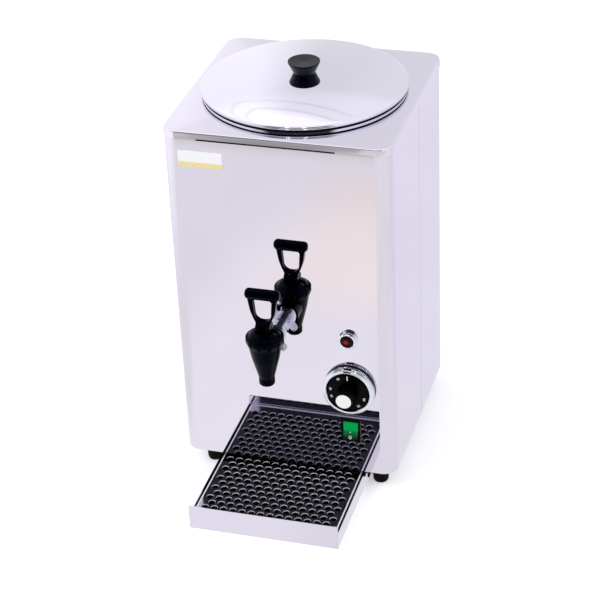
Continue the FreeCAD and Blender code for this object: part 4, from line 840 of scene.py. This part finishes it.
def floor():
    """White paper. The eye sees it white with a faint contact shadow, and steel sees soft tones in it."""
    material = new_material("white_paper_floor")
    tree = material.node_tree
    path = add_node(tree, "ShaderNodeLightPath")
    where = add_node(tree, "ShaderNodeTexCoord").outputs["Object"]
    split = add_node(tree, "ShaderNodeSeparateXYZ", {0: where})
    x, y = split.outputs["X"], split.outputs["Y"]
    behind = spread(tree, y, 0.0, 1.0, -0.15, 0.35, "SMOOTHSTEP")
    near = blended(tree, behind, PAPER_NEAR, PAPER_BEHIND)
    near = blended(tree, area(tree, x, y, *CREAM_AREA), near, CREAM)
    left = spread(tree, x, 1.25, 0.97, -1.1, -0.5, "SMOOTHSTEP")
    glow = add_node(tree, "ShaderNodeMath", {0: area(tree, x, y, *BRIGHT_AREA), 2: left},
                    operation="MULTIPLY_ADD", in_1=BRIGHT_GAIN).outputs[0]
    cloud = spread(tree, noise(tree, where, 0.35, 2.0), 0.95, 1.04, 0.25, 0.75)
    level = both(tree, glow, cloud)
    bearing = both(tree, x, y, "DIVIDE")
    left_part = both(tree, spread(tree, bearing, 0.0, 0.2, 0.30, 0.44, "SMOOTHSTEP"),
                     spread(tree, bearing, 0.0, 0.46, 0.52, 0.72, "SMOOTHSTEP"), "ADD")
    dusk = both(tree, spread(tree, bearing, 0.85, 0.34, 0.13, 0.25, "SMOOTHSTEP"), left_part, "ADD")
    distant = spread(tree, y, 1.0, 0.0, -1.2, -0.96, "SMOOTHSTEP")
    scaled = blended(tree, distant, (1, 1, 1, 1), dusk)
    scaled = blended(tree, area(tree, x, y, *WARM_AREA), scaled, WARM)
    lit = add_node(tree, "ShaderNodeVectorMath", {0: near, 1: scaled}, operation="MULTIPLY").outputs[0]
    mirrored = add_node(tree, "ShaderNodeEmission", {"Color": lit, "Strength": level})
    paper = add_node(tree, "ShaderNodeBsdfDiffuse", in_Color=linear("#F4F4F8"))
    shine = add_node(tree, "ShaderNodeEmission", in_Color=(1, 1, 1, 1), in_Strength=0.42)
    seen = add_node(tree, "ShaderNodeAddShader", {0: paper.outputs[0], 1: shine.outputs[0]})
    shown = add_node(tree, "ShaderNodeMixShader", {0: path.outputs["Is Camera Ray"], 1: paper.outputs[0],
                                                  2: seen.outputs[0]})
    glossy = add_node(tree, "ShaderNodeMath", {0: path.outputs["Is Glossy Ray"],
                                               1: path.outputs["Is Transmission Ray"]}, operation="MAXIMUM")
    share = add_node(tree, "ShaderNodeMath", {0: glossy.outputs[0]}, operation="MULTIPLY", in_1=0.88)
    mixed = add_node(tree, "ShaderNodeMixShader", {0: share.outputs[0], 1: shown.outputs[0],
                                                  2: mirrored.outputs[0]})
    finish_surface(material, mixed)
    mesh = bpy.data.meshes.new("floor")
    reach = 8
    mesh.from_pydata([(-reach, -reach, 0), (reach, -reach, 0), (reach, reach, 0), (-reach, reach, 0)], [],
                     [(0, 1, 2, 3)])
    mesh.materials.append(material)
    ground = bpy.data.objects.new("floor", mesh)
    ground.location.z = -0.0002
    bpy.context.collection.objects.link(ground)


# The room that steel mirrors. Its areas are windows of the turn in degrees from straight forward, to the
# right, and of the rise, from -1 straight down to 1 straight up. Each has a linear colour: the dusk round
# the camera, a darker corner in it, the dark room above, and two lamps.
ROOM_LAMP = (9.0, 9.0, 9.0, 1)
ROOM_AREAS = (
    ((-50, -35, 35, 50), (-0.3, -0.2, 0.45, 0.55), (0.72, 0.72, 0.68, 1)),
    ((-32, -22, -18, -9), (-0.3, -0.2, 0.2, 0.5), (0.34, 0.34, 0.32, 1)),
    ((-38, -24, 40, 52), (0.10, 0.40, 0.70, 0.80), (0.042, 0.042, 0.052, 1)),
    ((-10, -9, -5, -4), (0.64, 0.65, 0.71, 0.72), ROOM_LAMP),
    ((11, 12, 16, 17), (0.62, 0.63, 0.69, 0.70), ROOM_LAMP),
)
# Two arches on the ceiling: how high, how far to the side, and how much brighter each makes it
ARCHES = ((0.735, -0.395, 0.03), (0.776, -0.355, 0.28))


def studio():
    """White surroundings for the eye. Steel sees pale walls, a bright ceiling and the dark room behind
    the camera."""
    world = bpy.data.worlds.new("studio")
    bpy.context.scene.world = world
    world.use_nodes = True
    tree = world.node_tree
    tree.nodes.clear()
    path = add_node(tree, "ShaderNodeLightPath")
    way = add_node(tree, "ShaderNodeTexCoord").outputs["Generated"]
    split = add_node(tree, "ShaderNodeSeparateXYZ", {0: way})
    x, y, z = split.outputs["X"], split.outputs["Y"], split.outputs["Z"]
    ahead = add_node(tree, "ShaderNodeMath", {0: y}, operation="MULTIPLY", in_1=-1.0).outputs[0]
    turn = both(tree, x, ahead, "ARCTAN2")
    degrees = add_node(tree, "ShaderNodeMath", {0: turn}, operation="DEGREES").outputs[0]
    wall = both(tree, spread(tree, x, 1.15, 0.85, -0.37, -0.24, "SMOOTHSTEP"),
                spread(tree, x, 0.0, 0.06, -0.2, -0.08, "SMOOTHSTEP"), "ADD")
    wall = both(tree, wall, spread(tree, z, 0.0, 0.13, 0.53, 0.62, "SMOOTHSTEP"), "ADD")
    slope = add_node(tree, "ShaderNodeMath", {0: x, 2: z}, operation="MULTIPLY_ADD", in_1=-0.44).outputs[0]
    fading = spread(tree, x, 1.0, 0.1, -0.16, -0.04, "SMOOTHSTEP")
    for height_at, side_at, rise in ARCHES:
        over = add_node(tree, "ShaderNodeMath", {0: slope}, operation="SUBTRACT", in_1=height_at).outputs[0]
        beside = add_node(tree, "ShaderNodeMath", {0: x}, operation="SUBTRACT", in_1=side_at).outputs[0]
        inside = add_node(tree, "ShaderNodeMath", {0: over, 1: beside}, operation="SMOOTH_MIN",
                          in_2=0.05).outputs[0]
        line = both(tree, window(tree, inside, -0.008, -0.002, 0.001, 0.006), fading)
        filled = both(tree, spread(tree, inside, 0.0, rise, 0.0, 0.03), fading)
        darker = add_node(tree, "ShaderNodeMath", {0: line}, operation="MULTIPLY", in_1=-0.13).outputs[0]
        wall = both(tree, both(tree, wall, filled, "ADD"), darker, "ADD")
    back = spread(tree, y, 0.0, 1.0, -0.3, 0.3, "SMOOTHSTEP")
    tone = add_node(tree, "ShaderNodeVectorMath", {"Scale": wall}, operation="SCALE",
                    in_0=(1.0, 0.985, 1.03))
    room = blended(tree, back, (1.1, 1.1, 1.12, 1), tone.outputs[0])
    for turns, rises, colour in ROOM_AREAS:
        room = blended(tree, area(tree, degrees, z, turns, rises), room, colour)
    mirror = add_node(tree, "ShaderNodeBackground", {"Color": room}, in_Strength=1.0)
    white = add_node(tree, "ShaderNodeBackground", in_Color=(1, 1, 1, 1), in_Strength=1.0)
    soft = add_node(tree, "ShaderNodeBackground", in_Color=(0.95, 0.95, 1.0, 1), in_Strength=0.7)
    shiny = both(tree, path.outputs["Is Glossy Ray"], path.outputs["Is Transmission Ray"], "MAXIMUM")
    base = add_node(tree, "ShaderNodeMixShader", {0: shiny, 1: soft.outputs[0], 2: mirror.outputs[0]})
    final = add_node(tree, "ShaderNodeMixShader", {0: path.outputs["Is Camera Ray"], 1: base.outputs[0],
                                                  2: white.outputs[0]})
    add_node(tree, "ShaderNodeOutputWorld", {"Surface": final.outputs[0]})


def soft_lamp(name, place, size, power):
    """A square soft box aimed at the middle of the casing."""
    data = bpy.data.lights.new(name, "AREA")
    data.size = size
    data.energy = power
    lamp = bpy.data.objects.new(name, data)
    lamp.location = place
    aim = Vector((0, 0, 0.2)) - Vector(place)
    lamp.rotation_euler = aim.to_track_quat("-Z", "Y").to_euler()
    lamp.visible_glossy = False
    bpy.context.collection.objects.link(lamp)


bpy.context.scene.view_settings.view_transform = "Standard"
camera_from_photo()
floor()
studio()
soft_lamp("key", (-1.2, -1.4, 2.0), 1.2, 16)
soft_lamp("fill", (1.6, -0.8, 1.6), 1.4, 6)
